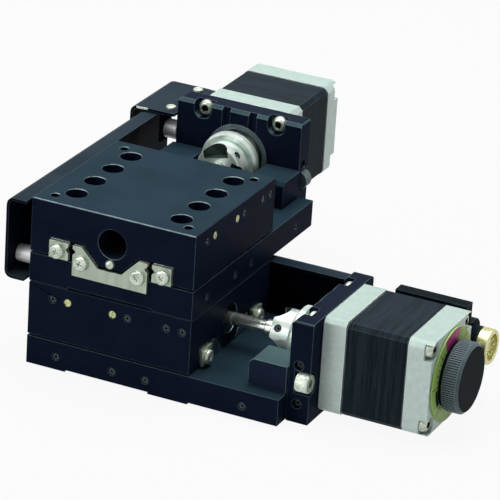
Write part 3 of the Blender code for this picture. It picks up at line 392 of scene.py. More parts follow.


# The light lines along the stack's chamfer edges are painted highlight, with some rubbed wear
LAMINATIONS = dict(dark=(0.008, 0.014, 0.019), light=(0.03, 0.044, 0.056), metallic=0,
                   rough=(0.4, 0.6), patch=900, grain=3600, bump=0.05, speck=0.5,
                   shine=0.02, wear_and_highlight=(0.4, 0.48, 0.5), reach=0.3)
FINISHES = {
    # Black anodised: its lighter top tone is painted light from above
    "black_anodised": dict(dark=(0.007, 0.011, 0.028), light=(0.0105, 0.0155, 0.037), metallic=0,
                           rough=(0.4, 0.55), patch=60, grain=3800, bump=0.02, shine=0.01,
                           wear_and_highlight=(0.16, 0.24, 0.28), reach=0.3, top=(2.2, 3, 1.75)),
    # A lighter copy of black anodised, painted light: the bracket's upper edges, the lower unit's
    # coupling block
    "black_anodised_lit": dict(dark=(0.015, 0.023, 0.05), light=(0.021, 0.032, 0.066), metallic=0,
                        rough=(0.4, 0.55), patch=60, grain=3800, bump=0.02, shine=0.02,
                        wear_and_highlight=(0.3, 0.42, 0.44), reach=0.35, top=(3.9, 4.5, 2.2)),
    # Black anodised without the top lift: painted shade on the bracket's top
    "black_shaded": dict(dark=(0.009, 0.013, 0.028), light=(0.013, 0.019, 0.037), metallic=0,
                         rough=(0.4, 0.55), patch=60, grain=3800, bump=0.02, shine=0.01,
                         wear_and_highlight=(0.2, 0.3, 0.34), reach=0.3),
    # Dark metal as painted shade inside the coupling's windows
    "painted_shade_metal": dict(dark=(0.02, 0.035, 0.03), light=(0.07, 0.1, 0.085), metallic=0.3,
                       rough=(0.3, 0.45), patch=300, grain=3000, bump=0.01, shine=0.1),
    # Black sheet: its lighter top tone is painted light from above
    "black_sheet": dict(dark=(0.004, 0.007, 0.014), light=(0.007, 0.011, 0.02), metallic=0,
                        rough=(0.3, 0.42), patch=40, grain=2600, bump=0.012, shine=0.01,
                        wear_and_highlight=(0.14, 0.18, 0.22), top=(4, 4, 3)),
    # Cast aluminium: its darker top is painted shade, and its white edge lines are painted highlight
    "cast_aluminium": dict(dark=(0.7, 0.84, 0.8), light=(0.86, 1, 0.94), metallic=0.1,
                           rough=(0.38, 0.55), patch=380, grain=1900, bump=0.05, speck=0.5,
                           shine=0.3, wear_and_highlight=(1, 1, 1), reach=0.45, top=(0.6, 0.64, 0.62)),
    "motor_laminations_x": dict(LAMINATIONS, stretch=(1, 0.02, 0.02)),
    "motor_laminations_y": dict(LAMINATIONS, stretch=(0.02, 1, 0.02)),
    "stainless_plate": dict(dark=(0.36, 0.43, 0.34), light=(0.52, 0.59, 0.48), metallic=0.6,
                            rough=(0.3, 0.42), patch=300, grain=5200, bump=0.008,
                            stretch=(1, 1, 0.1), wear_and_highlight=(0.9, 0.95, 0.85), reach=0.15),
    "ground_steel": dict(dark=(0.3, 0.31, 0.32), light=(0.42, 0.43, 0.44), metallic=1,
                         rough=(0.2, 0.32), patch=260, grain=4200, bump=0.006,
                         stretch=(1, 1, 0.05)),
    "polished_steel": dict(dark=(0.62, 0.65, 0.61), light=(0.78, 0.8, 0.76), metallic=1,
                           rough=(0.12, 0.2), patch=180, grain=3000, bump=0.004, speck=0.2),
    "shank_steel": dict(dark=(0.7, 0.76, 0.68), light=(0.88, 0.93, 0.85), metallic=0.85,
                        rough=(0.14, 0.2), patch=300, grain=3000, bump=0.006),
    "bright_aluminium": dict(dark=(0.55, 0.68, 0.6), light=(0.95, 1, 0.97), metallic=0.35,
                             rough=(0.16, 0.3), patch=170, grain=2600, bump=0.008, speck=0.15,
                             wear_and_highlight=(1, 1, 1), reach=0.3),
    "screw_steel": dict(dark=(0.34, 0.41, 0.33), light=(0.8, 0.86, 0.74), metallic=0.6,
                        rough=(0.2, 0.32), patch=420, grain=4200, bump=0.01, wear_and_highlight=(1, 1, 0.95)),
    "screw_brass": dict(dark=(0.42, 0.46, 0.2), light=(0.66, 0.68, 0.32), metallic=0.7,
                        rough=(0.25, 0.4), patch=700, grain=4200, bump=0.01, wear_and_highlight=(0.9, 0.95, 0.6)),
    "screw_black": dict(dark=(0.008, 0.012, 0.016), light=(0.016, 0.022, 0.028), metallic=0.1,
                        rough=(0.2, 0.35), patch=700, grain=4200, bump=0.01, shine=0.2,
                        wear_and_highlight=(0.6, 0.68, 0.72)),
    "brass_shell": dict(dark=(0.52, 0.5, 0.24), light=(0.7, 0.66, 0.34), metallic=0.85,
                        rough=(0.22, 0.36), patch=300, grain=3200, bump=0.008,
                        wear_and_highlight=(0.9, 0.88, 0.55)),
    # Bare metal rims round the table's holes, bright as a painted glint
    "bare_rim_and_glint": dict(dark=(0.2, 0.32, 0.35), light=(0.8, 0.92, 0.92), metallic=0.5,
                        rough=(0.25, 0.4), patch=300, grain=3000, bump=0.01),
    # Painted highlight along the table's front top edge
    "front_edge_highlight": dict(dark=(0.09, 0.13, 0.15), light=(0.24, 0.33, 0.36), metallic=0.1,
                      rough=(0.3, 0.45), patch=200, grain=3000, bump=0.01, shine=0.3),
    "bronze": dict(dark=(0.36, 0.24, 0.1), light=(0.5, 0.34, 0.16), metallic=1,
                   rough=(0.3, 0.42), patch=300, grain=3000, bump=0.01),
    "black_plastic": dict(dark=(0.005, 0.009, 0.012), light=(0.009, 0.015, 0.02), metallic=0,
                          rough=(0.4, 0.52), patch=220, grain=3400, bump=0.02, shine=0.01,
                          wear_and_highlight=(0.12, 0.17, 0.2)),
    # A dim grey on black parts: painted sheen on the knob's rim, painted light on the bracket ring,
    # painted shade on the upper flank screws
    "knob_rim": dict(dark=(0.09, 0.13, 0.15), light=(0.16, 0.21, 0.23), metallic=0,
                     rough=(0.35, 0.5), patch=220, grain=3400, bump=0.02, shine=0.1,
                     wear_and_highlight=(0.4, 0.48, 0.5)),
    "white_plastic": dict(dark=(0.9, 0.93, 0.9), light=(1, 1, 0.98), metallic=0.25,
                          rough=(0.38, 0.5), patch=200, grain=2600, bump=0.01, wear_and_highlight=(1, 1, 1)),
    "yellow_print": dict(dark=(0.42, 0.66, 0.16), light=(0.56, 0.82, 0.24), metallic=0,
                         rough=(0.35, 0.5), patch=240, grain=3000, bump=0.006, shine=0.2),
    "magenta_print": dict(dark=(0.66, 0.06, 0.27), light=(0.8, 0.09, 0.36), metallic=0,
                          rough=(0.35, 0.5), patch=240, grain=3000, bump=0.006, shine=0.2),
    # Black print for the dial's marks, also painted shadow of the knob in the dial's arc
    "black_print_and_shadow": dict(dark=(0.008, 0.008, 0.008), light=(0.016, 0.016, 0.016), metallic=0,
                        rough=(0.35, 0.5), patch=240, grain=3000, bump=0.006, shine=0.2),
}
LOOKS = {name: make_finish(name, **settings) for name, settings in FINISHES.items()}


def look_for(slot, unit):
    """The finish of a slot. The motor's stack has one for each unit, as its sheets lie across it."""
    return LOOKS.get(f"{slot}_{unit}") or LOOKS[slot]


def paint(piece, looks, choose):
    """Give a piece several finishes; choose picks one for a face from its middle and normal."""
    piece.data.materials.clear()
    for look in looks:
        piece.data.materials.append(LOOKS[look])
    for face in piece.data.polygons:
        face.material_index = choose(face.center / MM, face.normal)


def off_axis(middle):
    """How far a point lies from the screw's axis."""
    return math.hypot(middle.y, middle.z - AXIS)


# Machined plates and blocks: copies of the model's nodes with round holes cut finer

TOP_HOLES = [(-22.5 + 15 * row, hand * 22.5) for row in range(4) for hand in HANDS]
TOP_SINK_RADIUS = 4.36
TOP_SINK_DEPTH = 4.62
TOP_BORE_RADIUS = 2.32
TOP_BORE_END = 18
CORNER_HOLES = [(along * 28.5, across * 28.5) for along in HANDS for across in HANDS]
CORNER_HOLE_RADIUS = 1.86
CORNER_HOLE_DEPTH = 6.05
TABLE_BORE_RADIUS = 6.06
TABLE_SIDE_HEIGHT = 29.2
TABLE_BLACK_SCREWS = (-24.5, 7.8, 24.4, 31.2)
TABLE_BRASS_SCREWS = (-18, 1.4)
BASE_SIDE_HEIGHT = 5.3
BASE_SCREWS = (-22.2, 2.3, 16.7, 58)
SIDE_SCREW_RADIUS = 1.55
SIDE_SCREW_DEPTH = 2
EDGE_SOFTNESS = 0.28
EDGE_REACH = 0.4

MOTOR_SCREW_ACROSS = 16.4
MOTOR_SINK_HEIGHT = 39.4
MOTOR_SINK_FLOOR = 77.84
MOTOR_SINK_RADIUS = 3.96
FLANK_SCREW_ACROSS = 26.6
FLANK_SCREW_HEIGHT = 17.4
FLANK_SINK_FLOOR = 75.76
FLANK_SINK_RADIUS = 4.76
BRACKET_SET_SCREW_X = 77.3
BRACKET_SET_SCREW_HEIGHTS = (8.4, 24.3)
BRACKET_SET_SCREW_RADIUS = 1.98
BRACKET_SET_SCREW_END = -21.6


def is_hole_rim(middle, normal):
    """Whether a face is the steep part of the rounded rim of a top hole or of the bore."""
    if 0.3 < abs(normal.x) < 0.6 and abs(middle.x) > TABLE_HALF - EDGE_REACH:
        return 5.9 < off_axis(middle) < 6.6
    if not (0.3 < normal.z < 0.6 and middle.z > TABLE_TOP - EDGE_REACH):
        return False
    holes = [(spot, TOP_SINK_RADIUS) for spot in TOP_HOLES]
    holes += [(spot, CORNER_HOLE_RADIUS) for spot in CORNER_HOLES]
    return any(
        0 < math.hypot(middle.x - spot[0], middle.y - spot[1]) - radius < 0.5
        for spot, radius in holes
    )


def side_holes(stations, height):
    """Cutters for screw holes in both long sides."""
    return [
        bar(
            (x, hand * (TABLE_HALF + CUT), height),
            (x, hand * (TABLE_HALF - SIDE_SCREW_DEPTH), height),
            SIDE_SCREW_RADIUS,
            24,
        )
        for x in stations
        for hand in HANDS
    ]


def make_table():
    """A table with bare rims round its holes, bright as a painted glint, and a painted highlight on
    its front top edge.
    """
    table = copy_of_node("table")
    above = TABLE_TOP + CUT
    cutters = []
    for x, y in TOP_HOLES:
        sink_floor = TABLE_TOP - TOP_SINK_DEPTH
        cutters.append(bar((x, y, sink_floor), (x, y, above), TOP_SINK_RADIUS, 48))
        cutters.append(bar((x, y, TOP_BORE_END), (x, y, above), TOP_BORE_RADIUS, 32))
    for x, y in CORNER_HOLES:
        floor = TABLE_TOP - CORNER_HOLE_DEPTH
        cutters.append(bar((x, y, floor), (x, y, above), CORNER_HOLE_RADIUS, 32))
    cutters += side_holes(TABLE_BLACK_SCREWS + TABLE_BRASS_SCREWS, TABLE_SIDE_HEIGHT)
    end = TABLE_HALF + CUT
    cutters.append(bar((-end, 0, AXIS), (end, 0, AXIS), TABLE_BORE_RADIUS, ROUND))
    carve(table, cutters)
    soften(table, EDGE_SOFTNESS, clamp=False)

    # Hole rims: bare metal with a painted glint; the front top edge: painted highlight
    def choose(middle, normal):
        if is_hole_rim(middle, normal):
            return 1
        is_at_top = middle.z > TABLE_TOP - EDGE_REACH
        return 2 if is_at_top and normal.x < -0.3 and normal.z > 0.3 else 0

    paint(table, ("black_anodised", "bare_rim_and_glint", "front_edge_highlight"), choose)
    hand_over(table, "table_dressed", "carriage", "black_anodised", "own", nodes=["table"])


def make_base():
    base = copy_of_node("base")
    carve(base, side_holes(BASE_SCREWS, BASE_SIDE_HEIGHT))
    soften(base, EDGE_SOFTNESS)
    hand_over(base, "base_dressed", "fixed", "black_anodised", nodes=["base"])


def make_bracket():
    """The bracket, with painted shade on its top, painted light on its slanted upper edges, and a ring
    round its opening.
    """
    bracket = copy_of_node("motor_bracket")
    cutters = []
    for hand in HANDS:
        y, height = hand * MOTOR_SCREW_ACROSS, MOTOR_SINK_HEIGHT
        start, end = (BRACKET_FRONT - CUT, y, height), (MOTOR_SINK_FLOOR, y, height)
        cutters.append(bar(start, end, MOTOR_SINK_RADIUS, 48))
        y, height = hand * FLANK_SCREW_ACROSS, FLANK_SCREW_HEIGHT
        start, end = (FLANK_SINK_FLOOR, y, height), (BRACKET_BACK + CUT, y, height)
        cutters.append(bar(start, end, FLANK_SINK_RADIUS, 48))
    for height in BRACKET_SET_SCREW_HEIGHTS:
        start = (BRACKET_SET_SCREW_X, -BRACKET_HALF - CUT, height)
        end = (BRACKET_SET_SCREW_X, BRACKET_SET_SCREW_END, height)
        cutters.append(bar(start, end, BRACKET_SET_SCREW_RADIUS, 28))
    carve(bracket, cutters)
    soften(bracket, EDGE_SOFTNESS)
    # Flat tops get the darker copy as painted shade, slanted upper edges the lighter copy as painted
    # light
    paint(
        bracket,
        ("black_anodised", "black_shaded", "black_anodised_lit"),
        lambda middle, normal: 1 if normal.z > 0.9 else 2 if normal.z > 0.5 else 0,
    )
    hand_over(bracket, "bracket_dressed", "fixed", "black_anodised", "own",
              nodes=["motor_bracket"])
    # A dim grey ring at the opening: painted light standing in for the lit flange face seen through it
    ring = turned(((72.8, 13.2), (73, 13.4), (73.4, 13.4)))
    carve(ring, [bar((72, 0, AXIS), (75, 0, AXIS), 11.5)])
    hand_over(soften(ring, 0.1, 1), "bracket_ring", "fixed", "black_anodised", "knob_rim")


def make_dressed_nodes():
    """Pieces whose shape in the model only wants softer edges."""
    plain = (
        ("motor_flange", "fixed", "cast_aluminium", 0.3),
        ("motor_body", "fixed", "motor_laminations", 0.12),
        ("side_cover", "fixed", "black_sheet", 0.2),
        ("inner_rail_a", "fixed", "ground_steel", 0.15),
        ("inner_rail_b", "fixed", "ground_steel", 0.15),
        ("front_retainer", "fixed", "stainless_plate", 0.15),
        ("outer_rail_a", "carriage", "ground_steel", 0.15),
        ("outer_rail_b", "carriage", "ground_steel", 0.15),
        ("front_rail_stop_a", "carriage", "stainless_plate", 0.15),
        ("front_rail_stop_b", "carriage", "stainless_plate", 0.15),
        ("rear_rail_stop_a", "carriage", "stainless_plate", 0.15),
        ("rear_rail_stop_b", "carriage", "stainless_plate", 0.15),
        ("lead_nut", "carriage", "bronze", 0.2),
        ("roller_cage_a", "cages", "bronze", 0),
        ("roller_cage_b", "cages", "bronze", 0),
        ("motor_shaft", "shaft", "polished_steel", 0.2),
    )
    # The lower unit's coupling block takes the lighter copy of black anodised, painted light
    for unit, look in (("x", "black_anodised_lit"), ("y", "black_anodised")):
        piece = soften(copy_of_node("coupling_block", unit), 0.3)
        hand_over(piece, "coupling_block_dressed", "fixed", "black_anodised", look, unit,
                  ["coupling_block"])
    for node, group, slot, width in plain:
        piece = soften(copy_of_node(node), width)
        hand_over(piece, f"{node}_dressed", group, slot, nodes=[node])


# Pieces that turn

def make_coupling(unit, lean):
    """A hub with three windows open to the front, a disc and the hub on the motor's shaft."""
    body = turned(
        (
            (55.8, 9.1), (56.2, 9.5), (63.6, 9.5), (64, 9.1), (64, 8.2), (65, 8.2), (65, 11.3),
            (65.8, 12.3), (68, 12.3), (68.6, 11.7), (68.6, 9.4), (76.6, 9.4), (77, 9),
        ),
        sides=96,
    )
    cutters = [bar((55, 0, AXIS), (64.1, 0, AXIS), 3.3), bar((64, 0, AXIS), (78, 0, AXIS), 2.8)]
    grips = []
    for index in range(3):
        window, land = (math.radians(lean + 120 * index + more) for more in (0, 60))
        out = Vector((0, math.sin(window), math.cos(window)))
        middle = Vector((54.6, 0, AXIS))
        cutters.append(bar(middle + out * 4.6, middle + out * 12, 5.7, 48))
        out = Vector((0, math.sin(land), math.cos(land)))
        middle = Vector((59, 0, AXIS))
        cutters.append(bar(middle + out * 3, middle + out * 12, 1.55, 24))
        grips.append((middle + out * 8.9, out))
    carve(body, cutters)
    soften(body, 0.16)
    # Faces inside the windows take the dark metal, painted shade
    paint(
        body,
        ("bright_aluminium", "painted_shade_metal"),
        lambda middle, normal: 1 if 56 < middle.x < 61 and off_axis(middle) < 9.1 else 0,
    )
    hand_over(body, "coupling_dressed", "shaft", "polished_steel", "own", unit, ["coupling"])
    grip = set_screw(3, 2, 1.5)
    for index, (spot, out) in enumerate(grips, 1):
        drive(grip, f"coupling_set_screw_{index}", "shaft", [spot], out, "polished_steel",
              "screw_black", unit)
    bpy.data.objects.remove(grip, do_unlink=True)


def make_knob():
    """A knob with ridges round its rim and a black face, on its hub."""
    ridges = 90
    knob = turned(((129.5, 13.6), (129.9, 14), (135.2, 14), (136.3, 12.9)), sides=2 * ridges)
    edit(knob)
    ridge = math.pi / ridges

    def is_groove(middle, normal):
        turn = math.atan2(middle.z - AXIS, middle.y)
        return abs(normal.x) < 0.1 and round(turn / ridge - 0.5) % 2 == 0

    pick_faces(knob, is_groove)
    bpy.ops.mesh.inset(thickness=0.05 * MM, depth=-0.45 * MM, use_individual=True)
    leave_edit()
    hub = turned(((127.5, 12.3), (127.7, 12.5), (129.6, 12.5)), sides=96)
    carve(knob, [hub], "UNION")
    carve(knob, [bar((127, 0, AXIS), (133.3, 0, AXIS), 2.8)])
    soften(knob, 0)

    # The ridged rim is dim grey, painted sheen on black plastic; the faces and the groove floors stay
    # black
    def choose(middle, normal):
        is_low = abs(normal.x) < 0.1 and off_axis(middle) < 13.8
        return 1 if abs(normal.x) > 0.9 or is_low else 0

    paint(knob, ("knob_rim", "black_plastic"), choose)
    hand_over(knob, "knob_dressed", "shaft", "black_plastic", "own", nodes=["knob"])


CAP_SCREW_OFFSET = 15.5
CAP_POCKET_DEPTH = 3.4
CAP_POCKET_RADIUS = 3.45


def make_rear_cap():
    """A cast cap with rounded corners and a screw pocket in each, open to the side."""
    cap = block((CAP_START, -CAP_HALF, AXIS - CAP_HALF), (CAP_END, CAP_HALF, AXIS + CAP_HALF))
    edit(cap)
    bpy.ops.mesh.select_mode(type="EDGE")
    bpy.ops.mesh.select_all(action="DESELECT")
    work = bmesh.from_edit_mesh(cap.data)
    for edge in work.edges:
        ends = [corner.co for corner in edge.verts]
        edge.select_set(abs(ends[0].x - ends[1].x) > 5 * MM)
    bmesh.update_edit_mesh(cap.data)
    bpy.ops.mesh.bevel(offset=3.4 * MM, segments=8, affect="EDGES")
    leave_edit()
    cutters = []
    floor, beyond = CAP_END - CAP_POCKET_DEPTH, CAP_END + CUT
    for hand in HANDS:
        for up in HANDS:
            y, z = hand * CAP_SCREW_OFFSET, AXIS + up * CAP_SCREW_OFFSET
            cutters.append(bar((floor, y, z), (beyond, y, z), CAP_POCKET_RADIUS, 32))
            inner, outer = sorted((y, hand * 21))
            cutters.append(block((floor, inner, z - 3.3), (beyond, outer, z + 3.05)))
    cutters.append(bar((117, 0, AXIS), (128, 0, AXIS), 3, 40))
    soften(carve(cap, cutters), 0.3)
    hand_over(cap, "motor_rear_cap_dressed", "fixed", "cast_aluminium",
              nodes=["motor_rear_cap"])


def make_lead_screw():
    """A smooth shank with its journal, and the threaded length that runs in the nut."""
    shank = turned(
        (
            (33, 2.2), (33.6, 2.6), (50.7, 2.6), (51, 3), (51.3, 3.4), (55.2, 3.4), (55.5, 3.2),
            (55.5, 3), (63.7, 3),
        )
    )
    hand_over(soften(shank, 0), "lead_screw_shank", "shaft", "polished_steel", "shank_steel",
              nodes=["lead_screw"])
    pitch, outer, start, end = 2, 3, -1.7, 33.2
    root = outer - 0.5
    turns = int((end - start) / pitch)
    bpy.ops.object.select_all(action="DESELECT")
    bpy.ops.mesh.primitive_plane_add(size=1, location=(0, 0, 0))
    thread = bpy.context.object
    outline = ((0, root), (0.5, root), (0.9, outer), (1.6, outer), (pitch, root))
    work = bmesh.new()
    points = [work.verts.new(mm((start + x, 0, radius))) for x, radius in outline]
    for first, second in zip(points, points[1:]):
        work.edges.new((first, second))
    work.to_mesh(thread.data)
    work.free()
    finish_step(
        thread, "SCREW", axis="X", angle=math.tau, screw_offset=pitch * MM, iterations=turns,
        steps=32, render_steps=32, use_merge_vertices=True, merge_threshold=WELD,
    )
    edit(thread)
    bpy.ops.mesh.select_all(action="SELECT")
    bpy.ops.mesh.remove_doubles(threshold=WELD)
    bpy.ops.mesh.normals_make_consistent(inside=False)
    bpy.ops.transform.translate(value=mm((0, 0, AXIS)))
    leave_edit()
    hand_over(soften(thread, 0), "lead_screw_thread", "shaft", "polished_steel")


# Screws, modelled upright at the origin

SCREW_TWIST = math.radians(38)


def looks_up(middle, normal):
    return normal.z > 0.9


def pan_screw(diameter, height):
    """A round pan head with a cross recess."""
    head = bar((0, 0, 0), (0, 0, height), diameter / 2, 40)
    edit(head)
    pick_faces(head, looks_up)
    bpy.ops.mesh.bevel(offset=height * 0.62 * MM, segments=6, affect="EDGES")
    leave_edit()
    arm, width, floor = diameter * 0.3, diameter * 0.075, height * 0.35
    cutters = [
        block((-arm, -width, floor), (arm, width, height + CUT)),
        block((-width, -arm, floor), (width, arm, height + CUT)),
    ]
    for cutter in cutters:
        edit(cutter)
        pick_faces(cutter, lambda middle, normal: normal.z < -0.9)
        bpy.ops.transform.resize(value=(0.45, 0.45, 1), center_override=mm((0, 0, floor)))
        leave_edit()
    return soften(carve(head, cutters), 0.06, 1)


def socket_screw(diameter, height, key):
    """A cylinder head with a grooved side and a hexagon socket."""
    sides = 72
    head = bar((0, 0, 0), (0, 0, height), diameter / 2, sides)
    edit(head)
    pick_faces(head, looks_up)
    bpy.ops.mesh.bevel(offset=0.45 * MM, segments=3, affect="EDGES")
    ridge = math.tau / sides

    def is_groove(middle, normal):
        turn = math.atan2(middle.y, middle.x)
        return abs(normal.z) < 0.1 and round(turn / ridge - 0.5) % 2 == 0

    pick_faces(head, is_groove)
    bpy.ops.mesh.inset(thickness=0.05 * MM, depth=-0.12 * MM, use_individual=True)
    leave_edit()
    socket = bar((0, 0, height * 0.4), (0, 0, height + CUT), key / 2, 6)
    return soften(carve(head, [socket]), 0.05, 1)


def headless_screw(diameter, length, recess):
    """A screw without a head, its outer end at height 0, with a recess cut into that end."""
    body = bar((0, 0, -length), (0, 0, 0), diameter / 2, 32)
    edit(body)
    pick_faces(body, looks_up)
    bpy.ops.mesh.bevel(offset=0.2 * MM, segments=2, affect="EDGES")
    leave_edit()
    return soften(carve(body, [recess]), 0.04, 1)


def set_screw(diameter, length, key):
    socket = bar((0, 0, -length * 0.6), (0, 0, CUT), key / 2, 6)
    return headless_screw(diameter, length, socket)


def slotted_screw(diameter, length):
    slot = block((-diameter, -diameter * 0.1, -0.5), (diameter, diameter * 0.1, CUT))
    return headless_screw(diameter, length, slot)


def both_sides(x, across, height):
    """The same spot on each side of the unit's middle."""
    return [(x, hand * across, height) for hand in HANDS]


def make_screws():
    steel = ("polished_steel", "screw_steel")
    black = ("polished_steel", "screw_black")
    brass = ("brass_shell", "screw_brass")
    front, rear, up = (-1, 0, 0), (1, 0, 0), (0, 0, 1)

    plate_screw = pan_screw(6.2, 1.9)
    spots = both_sides(-PLATE_FACE, 12.2, 13)
    drive(plate_screw, "retainer_screw", "fixed", spots, front, *steel)
    spots = both_sides(-PLATE_FACE, 22.6, 15.7)
    drive(plate_screw, "front_stop_screw", "carriage", spots, front, *steel)
    spots = both_sides(PLATE_FACE, 22.6, 15.7)
    drive(plate_screw, "rear_stop_screw", "carriage", spots, rear, *steel)

    motor_screw = pan_screw(6.4, 2.6)
    spots = both_sides(77.9, MOTOR_SCREW_ACROSS, 39.15)
    drive(motor_screw, "motor_screw", "fixed", spots, front, *steel)
    spots = [
        (123.9, across * CAP_SCREW_OFFSET, AXIS + rise * CAP_SCREW_OFFSET)
        for across in HANDS
        for rise in HANDS
    ]
    drive(motor_screw, "rear_cap_screw", "fixed", spots, rear, *steel)

    flank_screw = socket_screw(7.6, 5.2, 4)
    # The upper unit's flank screws take dim grey instead of steel, painted shade
    for unit, x, look in (("x", 77, "screw_steel"), ("y", 75.6, "knob_rim")):
        spots = both_sides(x, FLANK_SCREW_ACROSS, FLANK_SCREW_HEIGHT)
        drive(flank_screw, "flank_screw", "fixed", spots, rear, "polished_steel", look, unit)

    black_set = set_screw(2.9, 2, 1.5)
    brass_set = slotted_screw(3, 2)
    for hand, side in zip(HANDS, ("near", "far")):
        out = (0, hand, 0)
        y = hand * (TABLE_HALF - 0.35)
        spots = [(x, y, TABLE_SIDE_HEIGHT) for x in TABLE_BLACK_SCREWS]
        drive(black_set, f"table_{side}_set_screw", "carriage", spots, out, *black)
        spots = [(x, y + hand * 0.25, TABLE_SIDE_HEIGHT) for x in TABLE_BRASS_SCREWS]
        drive(brass_set, f"table_{side}_brass_screw", "carriage", spots, out, *brass)
        spots = [(x, y, BASE_SIDE_HEIGHT) for x in BASE_SCREWS]
        drive(black_set, f"base_{side}_set_screw", "fixed", spots, out, *black)
    flank_set = set_screw(3.6, 2, 1.8)
    y = -BRACKET_HALF + 1.6
    spots = [(BRACKET_SET_SCREW_X, y, height) for height in BRACKET_SET_SCREW_HEIGHTS]
    drive(flank_set, "bracket_set_screw", "fixed", spots, (0, -1, 0), *black)

    cover_screw = pan_screw(4.2, 1.3)
    spots = [(100, 31.6, REAR_COVER_TOP), (76.2, 32, REAR_COVER_TOP)]
    drive(cover_screw, "rear_cover_screw", "fixed", spots, up, *steel, "y")
    spots = [(-29.5, COVER_WALL, 8), (62, COVER_WALL, 8)]
    drive(cover_screw, "side_cover_screw", "fixed", spots, (0, 1, 0), *steel)
    sources = (plate_screw, motor_screw, flank_screw, black_set, brass_set, flank_set, cover_screw)
    for source in sources:
        bpy.data.objects.remove(source, do_unlink=True)


def make_keel_pin():
    """The round-nosed pin that stands out of the table's keel."""
    stations = ((-34.8, 1.85), (-35.8, 1.85), (-36.4, 1.5), (-36.75, 0.9), (-36.85, 0.3))
    pin = turned(stations, 0.3, 14.9, SMALL_ROUND)
    hand_over(soften(pin, 0), "keel_pin", "carriage", "polished_steel", "screw_steel")


# The motor's dial and its connector, the covers' spacers

def make_dial():
    """A printed ring: a yellow field, a magenta sector and black marks, and a black arc inside
    that is partly print, partly the knob's painted shadow.
    """
    sectors, inner_radius, outer_radius = 240, 13, 18.6
    bands = (inner_radius, 13.2, 15.2, 17.9, 18.4, outer_radius)
    ring = turned(((127.5, outer_radius), (DIAL_FACE, outer_radius)), sides=sectors)
    carve(ring, [bar((127, 0, AXIS), (129, 0, AXIS), inner_radius, sectors)])
    edit(ring)
    pick_faces(ring, lambda middle, normal: normal.x > 0.9)
    bpy.ops.mesh.delete(type="FACE")
    leave_edit()
    work = bmesh.new()
    work.from_mesh(ring.data)
    loops = []
    for radius in bands:
        loops.append([
            work.verts.new(mm((DIAL_FACE, radius * math.cos(math.tau * i / sectors),
                               AXIS + radius * math.sin(math.tau * i / sectors))))
            for i in range(sectors)
        ])
    for band, (inner, outer) in enumerate(zip(loops, loops[1:])):
        for i in range(sectors):
            j = (i + 1) % sectors
            face = work.faces.new((inner[i], outer[i], outer[j], inner[j]))
            degree = 360 * i / sectors
            # The arc stands partly for print, partly for the knob's shadow: painted shadow
            is_arc = band == 1 and 185 <= degree < 215
            is_mark = band == 1 and i % 6 == 0 or band in (1, 2) and i % 30 == 0
            is_magenta = 72 <= degree < 118
            face.material_index = 2 if is_arc or is_mark else 1 if is_magenta else 0
    bmesh.ops.remove_doubles(work, verts=work.verts, dist=0.02 * MM)
    bmesh.ops.recalc_face_normals(work, faces=work.faces)
    work.to_mesh(ring.data)
    work.free()
    for name in ("yellow_print", "magenta_print", "black_print_and_shadow"):
        ring.data.materials.append(LOOKS[name])
    hand_over(ring, "dial_dressed", "fixed", "printed_plate", "own", nodes=["dial_plate"])


def make_connector(unit, rise):
    """The moulded housing with its neck, and the round metal socket with its pins."""
    housing = soften(copy_of_node("connector_housing", unit), 0.5, 3)
    hand_over(housing, "connector_housing_dressed", "fixed", "black_plastic", units=unit,
              nodes=["connector_housing"])
    across, height = 27.8, AXIS + rise
    shell = turned(
        ((128.5, 6.7), (128.8, 7.1), (130.3, 7.1), (130.3, 6.8), (130.8, 6.8), (130.8, 7.1),
         (132.9, 7.1), (133.4, 6.6), (133.4, 5.4), (133.1, 5.2), (129.6, 5.2)),
        across, height,
    )
    hand_over(soften(shell, 0.06, 1), "connector_shell_dressed", "fixed", "brass_shell", units=unit,
              nodes=["connector_shell"])
    insert = turned(((129.7, 5.1), (131.6, 5.1), (131.8, 4.9)), across, height)
    hand_over(soften(insert, 0), "connector_insert", "fixed", "brass_shell", "screw_brass", unit)
    for index in range(6):
        lean = math.tau * index / 6
        y, z = across + 3.1 * math.cos(lean), height + 3.1 * math.sin(lean)
        pin = turned(((131.6, 0.45), (132.7, 0.45), (132.9, 0.25)), y, z, 16)
        hand_over(soften(pin, 0), f"connector_pin_{index + 1}", "fixed", "brass_shell", units=unit)


def make_covers():
    """The white spacers, and the upper unit's rear cover with a lower wall, partly a dark sheet put
    there as painted shade, and a bare edge bright as a painted glint.
    """
    spacer_places = (("cover_spacer", -29.5, 35.3, 42.7, 8, 3.5, "xy"),
                     ("rear_cover_spacer", 77.1, 28, 33.8, 26.5, 4, "y"))
    for name, x, start, end, height, radius, units in spacer_places:
        spacer = soften(bar((x, start, height), (x, end, height), radius, 48), 0.35, 3)
        hand_over(spacer, f"{name}_dressed", "fixed", "white_plastic", units=units, nodes=[name])
    cover = copy_of_node("rear_cover", "y")
    # A lower wall closing the gap under the cover: partly guessed structure, partly a dark sheet put
    # there for shade
    lower_wall = block((71.05, 46.65, 1), (104.7, 47.85, 12.3))
    soften(carve(cover, [lower_wall], "UNION"), 0.2)
    hand_over(cover, "rear_cover_dressed", "fixed", "black_sheet", units="y",
              nodes=["rear_cover"])
    # A bright strip on the cover's front edge: a bare cut edge with its glint painted in
    edge = soften(block((70.9, 39.9, 34.5), (71.4, 45.2, 35.45)), 0.1, 1)
    hand_over(edge, "rear_cover_bare_edge_glint", "fixed", "polished_steel", "screw_steel", "y")


def make_stage():
    make_base()
    make_table()
    make_bracket()
    make_dressed_nodes()
    make_coupling("x", 0)
    make_coupling("y", 14)
    make_knob()
    make_rear_cap()
    make_lead_screw()
    make_screws()
    make_keel_pin()
    make_dial()
    make_connector("x", 1.5)
    make_connector("y", -6)
    make_covers()


# Camera, lamps, floor and background

